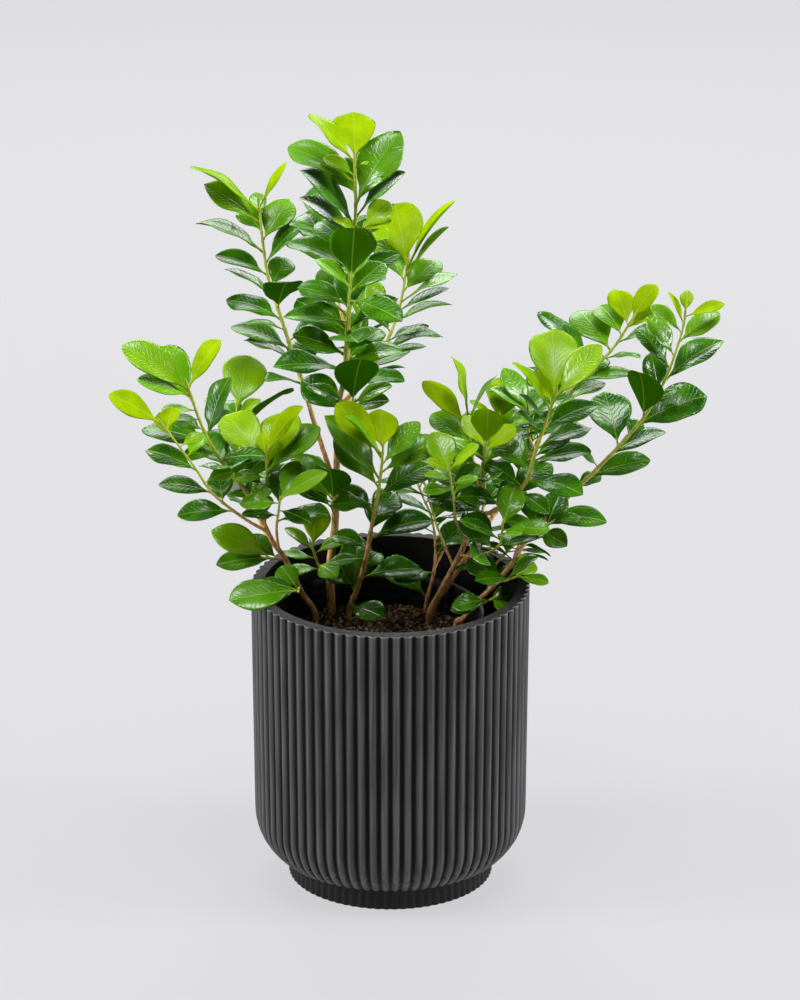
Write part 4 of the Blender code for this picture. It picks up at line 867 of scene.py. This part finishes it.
               (0.290, -0.050, 0.626)),
              (0.0062, 0.0020), 0.318, 0.0165, 0.050,
              ((80, 62, 0.020, 0), (5, 17, 0.036), (160, 62, 0.032, 0), (165, 38, 0.036),
               (15, 32, 0.044, 30), (152, 50, 0.042), (148, 42, 0.046), (15, 31, 0.063),
               (112, 60, 0.037, 20), (30, 20, 0.026), (268, 64, 0.058), (14, 20, 0.070, 25),
               (60, 20, 0.026), (105, 38, 0.058, 40), (8, 22, 0.054, 5), (215, 45, 0.032),
               (8, 14, 0.058, 15), (345, 8, 0.030), (120, 15, 0.040), (200, 30, 0.034),
               (350, 4, 0.060, 30)), rooted=True),
        Shoot(((0.107, 0.004, 0.313), (0.118, -0.008, 0.320), (0.129, -0.020, 0.330)),
              (0.0030, 0.0018), 0.040, 0.010, 0.036,
              ((345, -5, 0.030), (60, 10, 0.034), (200, 5, 0.034)), ripe=0.35),
        Shoot(((0.123, 0.006, 0.334), (0.130, 0.034, 0.342), (0.142, 0.055, 0.353)),
              (0.0030, 0.0018), 0.062, 0.009, 0.040,
              ((345, -5, 0.030), (60, 5, 0.034), (200, 15, 0.036), (10, -8, 0.034), (330, -10, 0.032),
               (180, 5, 0.036), (20, -8, 0.034)), ripe=0.7),
        Shoot(((0.144, 0.010, 0.367), (0.150, -0.012, 0.374), (0.160, -0.024, 0.388)),
              (0.0030, 0.0018), 0.050, 0.011, 0.038,
              ((350, 15, 0.030), (60, 30, 0.038), (200, 20, 0.038), (300, 5, 0.034)), ripe=0.6),
        Shoot(((0.098, 0.005, 0.303), (0.106, 0.036, 0.318), (0.122, 0.052, 0.330)),
              (0.0028, 0.0018), 0.056, 0.010, 0.038,
              ((350, 2, 0.036), (60, 10, 0.036), (200, 20, 0.034), (350, -8, 0.034),
               (190, 0, 0.036)), ripe=0.75),
        Shoot(((0.084, 0.011, 0.285), (0.094, -0.006, 0.294), (0.104, -0.020, 0.306)),
              (0.0026, 0.0016), 0.034, 0.009, 0.034,
              ((350, -12, 0.030), (190, -8, 0.034), (60, 5, 0.032), (220, -5, 0.032)), ripe=0.7),
    ),
    "rear_twig": (
        Shoot(((0.036, 0.074, 0), (0.044, 0.079, 0.292), (0.046, 0.098, 0.315), (0.042, 0.120, 0.336),
               (0.034, 0.132, 0.352), (0.026, 0.142, 0.370)),
              (0.0044, 0.0018), 0.135, 0.0135, 0.048,
              ((145, 50, 0.040, 0), (60, 30, 0.042), (170, 12, 0.044), (20, 20, 0.044), (150, 8, 0.040),
               (60, 30, 0.046), (165, 10, 0.040)), ripe=0.6, rooted=True),
        Shoot(((0.044, 0.081, 0.294), (0.062, 0.112, 0.324), (0.072, 0.152, 0.356)),
              (0.0030, 0.0018), 0.050, 0.015, 0.048,
              ((120, 40, 0.046), (340, 30, 0.046)), ripe=0.7),
    ),
}


def smooth_route(shoot, steps):
    """Points along the shoot, steps to each stretch, on a smooth curve through its route.

    The stretch under the soil stays straight, because it stands in a plain hole.
    """
    route = shoot.route
    points = []
    for index in range(len(route) - 1):
        start, end = route[index], route[index + 1]
        before = route[index - 1] if index > 0 else start * 2.0 - end
        after = route[index + 2] if index + 2 < len(route) else end * 2.0 - start
        for step in range(steps):
            t = step / steps
            if shoot.rooted and index == 0:
                points.append(start.lerp(end, t))
                continue
            points.append(0.5 * (2.0 * start + (end - before) * t
                                 + (2.0 * before - 5.0 * start + 4.0 * end - after) * t ** 2
                                 + (3.0 * start - before - 3.0 * end + after) * t ** 3))
    points.append(route[-1].copy())
    return points


def radii(shoot, points):
    """The shoot's radius at each of its points, thinning evenly from base to tip."""
    reach = [0.0]
    for start, end in zip(points, points[1:]):
        reach.append(reach[-1] + (end - start).length)
    thick, thin = shoot.thick
    return [0.5 * (thick + (thin - thick) * run / reach[-1]) for run in reach]


def guard_tube(shoot):
    """A plain six-sided tube round a shoot, that a leaf must stay out of."""
    points = smooth_route(shoot, GUARD_ROUTE_STEPS)
    widths = radii(shoot, points)
    corners, faces = [], []
    for index, point in enumerate(points):
        ahead = points[min(index + 1, len(points) - 1)] - points[max(index - 1, 0)]
        turn = ahead.to_track_quat("Z", "Y")
        for side in range(GUARD_SIDES):
            angle = math.tau * side / GUARD_SIDES
            spoke = Vector((math.cos(angle), math.sin(angle), 0.0))
            corners.append(point + turn @ (spoke * (widths[index] * GUARD_SWELL + STEM_CLEARANCE)))
        if index:
            for side in range(GUARD_SIDES):
                other = (side + 1) % GUARD_SIDES
                low, high = GUARD_SIDES * (index - 1), GUARD_SIDES * index
                faces.append((low + side, low + other, high + other, high + side))
    return BVHTree.FromPolygons(corners, faces)


def guard_ring(inner, outer, low, high, centre):
    """A plain ring round a pot's rim, that a leaf must stay out of."""
    corners, faces = [], []
    for radius, height in ((inner, low), (inner, high), (outer, high), (outer, low)):
        for step in range(GUARD_STEPS):
            turn = math.tau * step / GUARD_STEPS
            corners.append(centre + Vector((radius * math.cos(turn), radius * math.sin(turn), height)))
    for row in range(3):
        for step in range(GUARD_STEPS):
            after = (step + 1) % GUARD_STEPS
            low_row, high_row = row * GUARD_STEPS, (row + 1) * GUARD_STEPS
            faces.append((low_row + step, low_row + after, high_row + after, high_row + step))
    return BVHTree.FromPolygons(corners, faces)


class Leaf:
    """One leaf: where it leaves its shoot, which way it points and how large it is."""

    def __init__(self, root, tangent, bearing, lift, length, width, arch, roll, turned):
        self.root = root
        self.length = length
        self.width = width
        self.arch = arch
        bearing, lift = math.radians(bearing), math.radians(lift)
        level = Vector((math.cos(bearing), math.sin(bearing), 0.0))
        self.along = level * math.cos(lift) + UP * math.sin(lift)
        facing = tangent * 0.5 + UP * 0.6 - level * 0.35
        self.out = (facing - self.along * facing.dot(self.along)).normalized()
        light = (LIGHT - self.along * LIGHT.dot(self.along)).normalized()
        angle = self.out.angle(light)
        turn = Matrix.Rotation(roll, 3, self.along)
        if angle < math.radians(100.0):
            share = min(1.0, math.radians(turned) / max(angle, 0.001))
            self.out = self.out.slerp(light, share).normalized()
        self.out = turn @ self.out
        self.across = self.along.cross(self.out)

    def half_width(self, t):
        """Half the blade's width at a share t of the leaf's length."""
        s = (t - STALK_SHARE) / (1.0 - STALK_SHARE)
        widest = BLADE_RISE / (BLADE_RISE + BLADE_FALL)
        full = widest ** BLADE_RISE * (1.0 - widest) ** BLADE_FALL
        return 0.5 * self.width * s ** BLADE_RISE * (1.0 - s) ** BLADE_FALL / full

    def point(self, t, sideways, depth):
        """A point at a share t of the length, so far sideways and so deep under the upper face."""
        half, bend = 0.5 * self.arch, self.arch * (0.5 - t)
        run = self.length * (math.sin(half) - math.sin(bend)) / self.arch
        rise = self.length * (math.cos(bend) - math.cos(half)) / self.arch
        high = abs(sideways) * math.sin(FOLD) - depth
        return (self.root + self.across * (sideways * math.cos(FOLD))
                + self.along * (run - high * math.sin(bend))
                + self.out * (rise + high * math.cos(bend)))

    def shape(self, extra=0.0, with_stalk=True):
        """Corners and triangles of the leaf, split alike on both faces of its blade."""
        corners = []
        for t, size in ((0.0, 0.65), (STALK_SHARE, 1.0)):
            wide = STALK_THICK * size + extra
            corners += [self.point(t, -wide, 0.0), self.point(t, wide, 0.0), self.point(t, 0.0, 1.3 * wide)]
        for t in (0.45, 0.82):
            wide = self.half_width(t) + extra
            corners += [self.point(t, -wide, 0.0), self.point(t, 0.0, -extra),
                        self.point(t, wide, 0.0), self.point(t, 0.0, BLADE_THICK + extra)]
        corners.append(self.point(1.0, 0.0, -0.001))
        stalk = [(0, 2, 1), (0, 1, 4), (0, 4, 3), (0, 3, 5), (0, 5, 2), (1, 2, 5), (1, 5, 4)]
        blade = [(3, 6, 7), (3, 7, 4), (4, 7, 8), (3, 9, 6), (3, 5, 9), (5, 4, 9), (4, 8, 9),
                 (6, 10, 11), (6, 11, 7), (7, 11, 8), (8, 11, 12), (6, 13, 10), (6, 9, 13), (9, 8, 13),
                 (8, 12, 13), (10, 14, 11), (11, 14, 12), (10, 13, 14), (13, 12, 14)]
        return corners, (stalk + blade if with_stalk else blade)


def leaf_sites(shoot, draw):
    """Where the shoot's leaves sit, from the tip down: place, tangent, order and drawn jitter."""
    points = smooth_route(shoot, SITE_STEPS)
    reach, index, sites = 0.0, len(points) - 1, []
    wanted, order = FIRST_LEAF, 0
    while index > 0 and wanted < shoot.leafy:
        step = (points[index] - points[index - 1]).length
        if reach + step >= wanted:
            share = (wanted - reach) / step
            place = points[index].lerp(points[index - 1], share)
            tangent = (points[index] - points[index - 1]).normalized()
            sites.append((place, tangent, order, [draw.uniform(-1.0, 1.0) for _ in range(6)]))
            growth = TIP_GAPS[order] if order < len(TIP_GAPS) else 1.0
            wanted += shoot.gap * growth * (1.0 + 0.15 * sites[-1][3][0])
            order += 1
        else:
            reach += step
            index -= 1
    return sites


def leaf_age(shoot, order):
    """How old a leaf is: 0 at a shoot's very tip, rising to 1 well down the shoot."""
    return min(1.0, shoot.ripe + order / LEAVES_TO_RIPEN)


def wanted_leaf(shoot, site, count):
    """The bearing, lift, length, width, arch, roll and turn to the front that a leaf would like."""
    order, jitter = site[2:]
    listed = shoot.tip_leaves
    age = leaf_age(shoot, order)
    turned = TURN_TO_LIGHT
    if order < len(listed):
        bearing, lift, length, *more = listed[order]
        roll = 6.0 * jitter[5]
        turned = more[0] if more else turned
    else:
        bearing = listed[-1][0] + GOLDEN_ANGLE * (order - len(listed) + 1) + BEARING_STRAYS * jitter[1]
        lift = SPIRAL_LIFT - LIFT_FALLS * order / max(count, LEAVES_TO_RIPEN) + LIFT_STRAYS * jitter[2]
        length = shoot.size * (1.05 + 0.12 * jitter[3])
        roll = 12.0 * jitter[5]
    broad = abs(math.sin(math.radians(bearing))) ** 3
    turned *= 0.3 + 0.7 * broad
    width = length * (BLADE_SHARE + 0.02 * age + 0.12 * broad + 0.03 * jitter[4])
    arch = math.radians(ARCH + ARCH * age + ARCH_STRAYS * jitter[4])
    return bearing, lift, length * LEAF_GROWTH, width * LEAF_GROWTH, arch, math.radians(roll), turned


def clear_leaf(name, shoot, own_tube, site, count, walls, tubes, placed):
    """The leaf at a site, turned aside by small steps until it is clear, or None."""
    place, tangent = site[0], site[1]
    bearing, lift, length, width, arch, roll, turned = wanted_leaf(shoot, site, count)
    near = [other for other in placed if (other[1] - place).length < other[2] + length + NEAR_LEAVES]
    for shrink in SHRINKS:
        for aside, more in TURNS:
            leaf = Leaf(place, tangent, bearing + aside, lift + more, length * shrink, width * shrink,
                        arch, roll, turned)
            blade = BVHTree.FromPolygons(*leaf.shape(LEAF_CLEARANCE, with_stalk=False))
            whole = BVHTree.FromPolygons(*leaf.shape(LEAF_CLEARANCE))
            if any(whole.overlap(wall) for wall in walls) or blade.overlap(own_tube):
                continue
            if any(whole.overlap(tube) for owner, tube in tubes if owner != name):
                continue
            if any(blade.overlap(tube) for owner, tube in tubes if owner == name and tube is not own_tube):
                continue
            if any(whole.overlap(other[3]) for other in near if other[0] != name):
                continue
            if any(blade.overlap(other[4]) for other in near if other[0] == name):
                continue
            return leaf, whole, blade
    return None, None, None


def place_leaves():
    """All leaves, by stem: first those that are listed, then the spirals."""
    draw = random.Random(LEAF_DRAW)
    pot_centre = Vector((POT_SHIFT, 0.0, 0.0))
    walls = [guard_ring(INNER_RADIUS - RIM_CLEARANCE, PLANTER_RADIUS + RIM_CLEARANCE, FOOT_RADIUS,
                        PLANTER_HEIGHT + RIM_CLEARANCE, Vector()),
             guard_ring(pot_inner_radius(POT_TOP) - RIM_CLEARANCE, POT_LIP_RADIUS + RIM_CLEARANCE,
                        FOOT_RADIUS, POT_TOP + RIM_CLEARANCE, pot_centre),
             guard_ring(RIM_CLEARANCE, POT_LIP_RADIUS, FOOT_RADIUS, SOIL_TOP + SOIL_BUMP + RIM_CLEARANCE,
                        pot_centre)]
    tubes, sites = [], []
    for name, shoots in STEMS.items():
        for shoot in shoots:
            tube = guard_tube(shoot)
            tubes.append((name, tube))
            sites.append((name, shoot, tube, leaf_sites(shoot, draw)))
    placed, leaves = [], {name: [] for name in STEMS}
    for listed in (True, False):
        for name, shoot, tube, spots in sites:
            for site in spots:
                if (site[2] < len(shoot.tip_leaves)) != listed:
                    continue
                leaf, whole, blade = clear_leaf(name, shoot, tube, site, len(spots), walls, tubes, placed)
                if leaf is not None:
                    leaf.shoot = shoot
                    leaf.age = leaf_age(shoot, site[2])
                    placed.append((name, leaf.root, leaf.length, whole, blade))
                    leaves[name].append(leaf)
    return leaves


def leafy_tree():
    """Wood swept along the routes, and a leaf at each loose point of the mesh."""
    start, given = new_tree("leafy_stem", Around="Int", Along="Int", Sides="Int", Knurl="Float",
                            Wood="Material", Leaf="Material")
    routes = start.node("GeometryNodeMeshToCurve", None, {"Mesh": given["Geometry"]})
    thick = carried(start, "thick")
    ring = start.node("GeometryNodeCurvePrimitiveCircle", None, {"Resolution": given["Sides"], "Radius": 1.0})
    wood = start.node("GeometryNodeCurveToMesh", None, {
        "Curve": routes, "Profile Curve": ring, "Scale": thick, "Fill Caps": True})
    spot = start.node("GeometryNodeInputPosition")
    rough = start.node("ShaderNodeTexNoise", None, {
        "Vector": spot * (1.0, 1.0, 0.45), "Scale": 330.0, "Detail": 2.0})
    outward = start.node("GeometryNodeInputNormal")
    wood = start.node("GeometryNodeSetPosition", None, {
        "Geometry": wood, "Offset": outward * ((rough - 0.5) * thick * given["Knurl"])})
    wood = start.node("GeometryNodeSetMaterial", None, {"Geometry": wood, "Material": given["Wood"]})

    blank = start.node("GeometryNodeMeshCylinder", None, {
        "Vertices": given["Around"], "Side Segments": given["Along"], "Radius": 1.0, "Depth": 1.0})
    blank = marked(blank, "form", spot + (0.0, 0.0, 0.5), "FLOAT_VECTOR")
    is_leaf = start.node("FunctionNodeCompare", {"data_type": "FLOAT", "operation": "GREATER_THAN"},
                         {0: carried(start, "length"), 1: 0.0})
    leaves = start.node("GeometryNodeInstanceOnPoints", None, {
        "Points": given["Geometry"], "Selection": is_leaf, "Instance": blank})
    leaves = start.node("GeometryNodeRealizeInstances", None, {"Geometry": leaves})

    form = carried(start, "form", "FLOAT_VECTOR")
    side, face = form.part(0), form.part(1)
    length, width, arch = carried(start, "length"), carried(start, "width"), carried(start, "arch")
    t = 1.0 - (1.0 - form.part(2)) ** 1.5
    s = ((t - STALK_SHARE) / (1.0 - STALK_SHARE)).at_least(0.0).at_most(0.9995)
    fall = BLADE_FALL + TIP_SHARPENS * carried(start, "age")
    widest = BLADE_RISE / (BLADE_RISE + fall)
    full = widest ** BLADE_RISE * (1.0 - widest) ** fall
    blade = 0.5 * width * s ** BLADE_RISE * (1.0 - s) ** fall / full
    stalk = length * 0.0145 * (1.15 - t)
    wide = blade.at_least(stalk * (1.0 - s) ** 0.5)
    flat = s.step_up(0.0, BLADE_OPENS)
    deep = stalk * (1.0 - flat) + (BLADE_DEEP * (1.0 - s) ** 0.35) * flat
    sideways = side * wide
    spread = (sideways * sideways + CREASE_SOFT).root() - CREASE_ROUND
    from_rib = sideways / RIB_HALF
    rib = RIB_HEIGHT * (1.0 - s) * flat * (-(from_rib * from_rib)).exponential()
    under = (-face).at_least(0.0)
    fold = carried(start, "fold") * flat
    swing = (t * WAVE_TURNS + carried(start, "phase") + side * WAVE_LAG).sine()
    wave = carried(start, "wave") * side * side * swing
    curl = EDGE_CURL * spread * side * side
    high = spread * fold.sine() + face * deep - under * rib + wave * width * flat - curl
    level = sideways * fold.cosine()
    twist = carried(start, "twist") * (t - TWIST_FROM)
    across_run = level * twist.cosine() - high * twist.sine()
    high = level * twist.sine() + high * twist.cosine()
    bend = arch * (0.5 - t)
    run = length * ((0.5 * arch).sine() - bend.sine()) / arch - high * bend.sine()
    rise = length * (bend.cosine() - (0.5 * arch).cosine()) / arch + high * bend.cosine()
    place = (carried(start, "base", "FLOAT_VECTOR") + carried(start, "across", "FLOAT_VECTOR") * across_run
             + carried(start, "along", "FLOAT_VECTOR") * run + carried(start, "out", "FLOAT_VECTOR") * rise)
    grid = start.vector(sideways, (t - STALK_SHARE) * length, face)
    leaves = marked(leaves, "blade_grid", grid, "FLOAT_VECTOR")
    leaves = marked(leaves, "blade_form", start.vector(side, s, flat), "FLOAT_VECTOR")
    leaves = start.node("GeometryNodeSetPosition", None, {"Geometry": leaves, "Position": place})
    leaves = start.node("GeometryNodeFlipFaces", None, {"Mesh": leaves})
    leaves = start.node("GeometryNodeSetMaterial", None, {"Geometry": leaves, "Material": given["Leaf"]})

    end_tree(joined(wood, leaves))
    return start


def growth_mesh(name, shoots, leaves, draw):
    """The routes as chains of points, and one loose point for each leaf, with all their values."""
    points, edges, values = [], [], []
    for shoot in shoots:
        route = smooth_route(shoot, ROUTE_STEPS)
        thickness = radii(shoot, route)
        sites = [leaf.root for leaf in leaves if leaf.shoot is shoot]
        tip, onward = route[-1], (route[-1] - route[-2]).normalized()
        route += [tip + onward * BUD_LENGTH * share for share, _ in BUD_FORM]
        thickness += [0.5 * shoot.thick[1] * swell for _, swell in BUD_FORM]
        first = len(points)
        for index, (point, radius) in enumerate(zip(route, thickness)):
            nearest = min(((point - site).length for site in sites), default=1.0)
            node = max(0.0, 1.0 - nearest / JOINT_REACH)
            up = index / (len(route) - 1)
            green = up if shoot.rooted else 0.35 + 0.65 * up
            points.append(point)
            values.append({"thick": radius * (1.0 + JOINT_SWELL * node), "green": green, "node": node})
            if index:
                edges.append((first + index - 1, first + index))
    for leaf in leaves:
        points.append(leaf.root)
        values.append({"base": leaf.root, "along": leaf.along, "across": leaf.across, "out": leaf.out,
                       "length": BLADE_LONGER * leaf.length, "width": BLADE_WIDER * leaf.width,
                       "arch": leaf.arch, "age": leaf.age,
                       "fold": FOLD * draw.uniform(0.7, 1.25), "wave": draw.uniform(0.0, 0.055),
                       "phase": draw.uniform(0.0, math.tau), "twist": draw.uniform(-0.35, 0.35),
                       "tint": draw.random()})
    mesh = bpy.data.meshes.new(name)
    mesh.from_pydata(points, edges, [])
    for key in ("thick", "green", "node", "length", "width", "arch", "age", "fold", "wave", "phase",
                "twist", "tint"):
        layer = mesh.attributes.new(key, "FLOAT", "POINT")
        layer.data.foreach_set("value", [value.get(key, 0.0) for value in values])
    for key in ("base", "along", "across", "out"):
        layer = mesh.attributes.new(key, "FLOAT_VECTOR", "POINT")
        vectors = [value.get(key, (0.0, 0.0, 0.0)) for value in values]
        layer.data.foreach_set("vector", [number for vector in vectors for number in vector])
    return mesh


bark = Finish("ficus_bark", roughness=0.6, specular_ior_level=0.3)
greenness = bark.carried("green")
scar = bark.carried("node")
streaks = bark.noise(420.0, 4.0, 0.6, stretch=(1.0, 1.0, 0.22))
blotches = bark.noise(120.0, 3.0)
woody = streaks.step_up(0.30, 0.66).blend((0.34, 0.170, 0.058), (0.86, 0.480, 0.190))
woody = (blotches.step_up(0.55, 0.75) * 0.4).blend(woody, (0.58, 0.44, 0.23))
tender = streaks.blend((0.27, 0.38, 0.015), (0.52, 0.62, 0.060))
bark_tone = (greenness + (blotches - 0.5) * 0.3).step_up(0.42, 0.80).blend(woody, tender)
bark_tone = (scar * 0.35).blend(bark_tone, (0.30, 0.18, 0.06))
bark.feeds(base_color=bark_tone)
bark.bump(streaks + 0.5 * blotches, 0.5, 0.0006)

leaf_skin = Finish("ficus_leaf", roughness=0.68, specular_ior_level=0.0)
age = leaf_skin.carried("age")
tint = leaf_skin.carried("tint")
blade_grid = leaf_skin.carried("blade_grid", "Vector")
blade_form = leaf_skin.carried("blade_form", "Vector")
sideways, lengthways, facing = blade_grid.part(0), blade_grid.part(1), blade_grid.part(2)
mottle = leaf_skin.noise(45.0, 3.0)
upper = facing.step_up(-0.05, 0.05)
young_green = mottle.step_up(0.25, 0.75).blend((0.190, 0.310, 0.001), (0.300, 0.460, 0.001))
mid_green = mottle.blend((0.090, 0.285, 0.001), (0.165, 0.400, 0.003))
old_green = mottle.step_up(0.25, 0.75).blend((0.007, 0.074, 0.001), (0.056, 0.212, 0.001))
ripeness = (age + (tint - 0.5) * 0.50).at_least(0.0).at_most(1.0)
top_tone = ripeness.step_up(0.30, 0.95).blend(mid_green, old_green)
top_tone = ripeness.step_up(0.02, 0.42).blend(young_green, top_tone)
under_tone = ripeness.step_up(0.0, 0.55).blend((0.16, 0.34, 0.001), (0.032, 0.145, 0.001))
rib_line = abs(sideways).step_up(0.0010, 0.0003)
wander = leaf_skin.noise(150.0, 2.0) - 0.5
vein_run = (lengthways - abs(sideways) * VEIN_SLANT) / VEIN_GAP + wander * 1.6
vein = abs(vein_run.fraction() - 0.5).step_up(0.16, 0.0) * abs(sideways).step_up(0.0004, 0.002)
edge_line = abs(blade_form.part(0)).step_up(0.94, 1.0) * blade_form.part(2)
top_tone = (vein * 0.10).blend(top_tone, (0.20, 0.44, 0.03))
top_tone = (rib_line * 0.35).blend(top_tone, (0.36, 0.54, 0.06))
top_tone = (edge_line * 0.30).blend(top_tone, (0.32, 0.46, 0.06))
under_tone = (rib_line * 0.45 + vein * 0.04).blend(under_tone, (0.36, 0.48, 0.05))
leaf_tone = upper.blend(under_tone, top_tone)
stalk_tone = ripeness.blend((0.38, 0.48, 0.03), (0.24, 0.34, 0.03))
leaf_tone = blade_form.part(1).step_up(0.035, 0.0).blend(leaf_tone, stalk_tone)
tilt = leaf_skin.carried("out", "Vector").part(2)
skyward = tilt.step_up(-0.1, 0.5) * tilt.step_up(1.15, 0.75)
sheen = upper * blade_form.part(2) * skyward * ripeness.step_up(0.0, 0.45)
sheen = sheen * (1.0 - 0.3 * vein - 0.2 * mottle)
leaf_skin.feeds(base_color=leaf_tone)
leaf_skin.bump(0.45 * vein + 0.8 * rib_line + 0.45 * leaf_skin.noise(120.0, 2.0), 0.4, 0.0008)
leaf_skin.varnish(0.01 + 0.75 * sheen, 0.21, 1.0)

grown_leaves = place_leaves()
growing = leafy_tree()
trim_draw = random.Random(TRIM_DRAW)
for stem_name, stem_shoots in STEMS.items():
    stem_mesh = growth_mesh(f"{stem_name}_growth", stem_shoots, grown_leaves[stem_name], trim_draw)
    growth = run_tree(shown(f"{stem_name}_growth", stem_mesh), growing, Around=12, Along=14, Sides=10,
                      Knurl=0.22, Wood=bark.material, Leaf=leaf_skin.material)
    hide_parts(stem_name)
    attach(growth, "root")
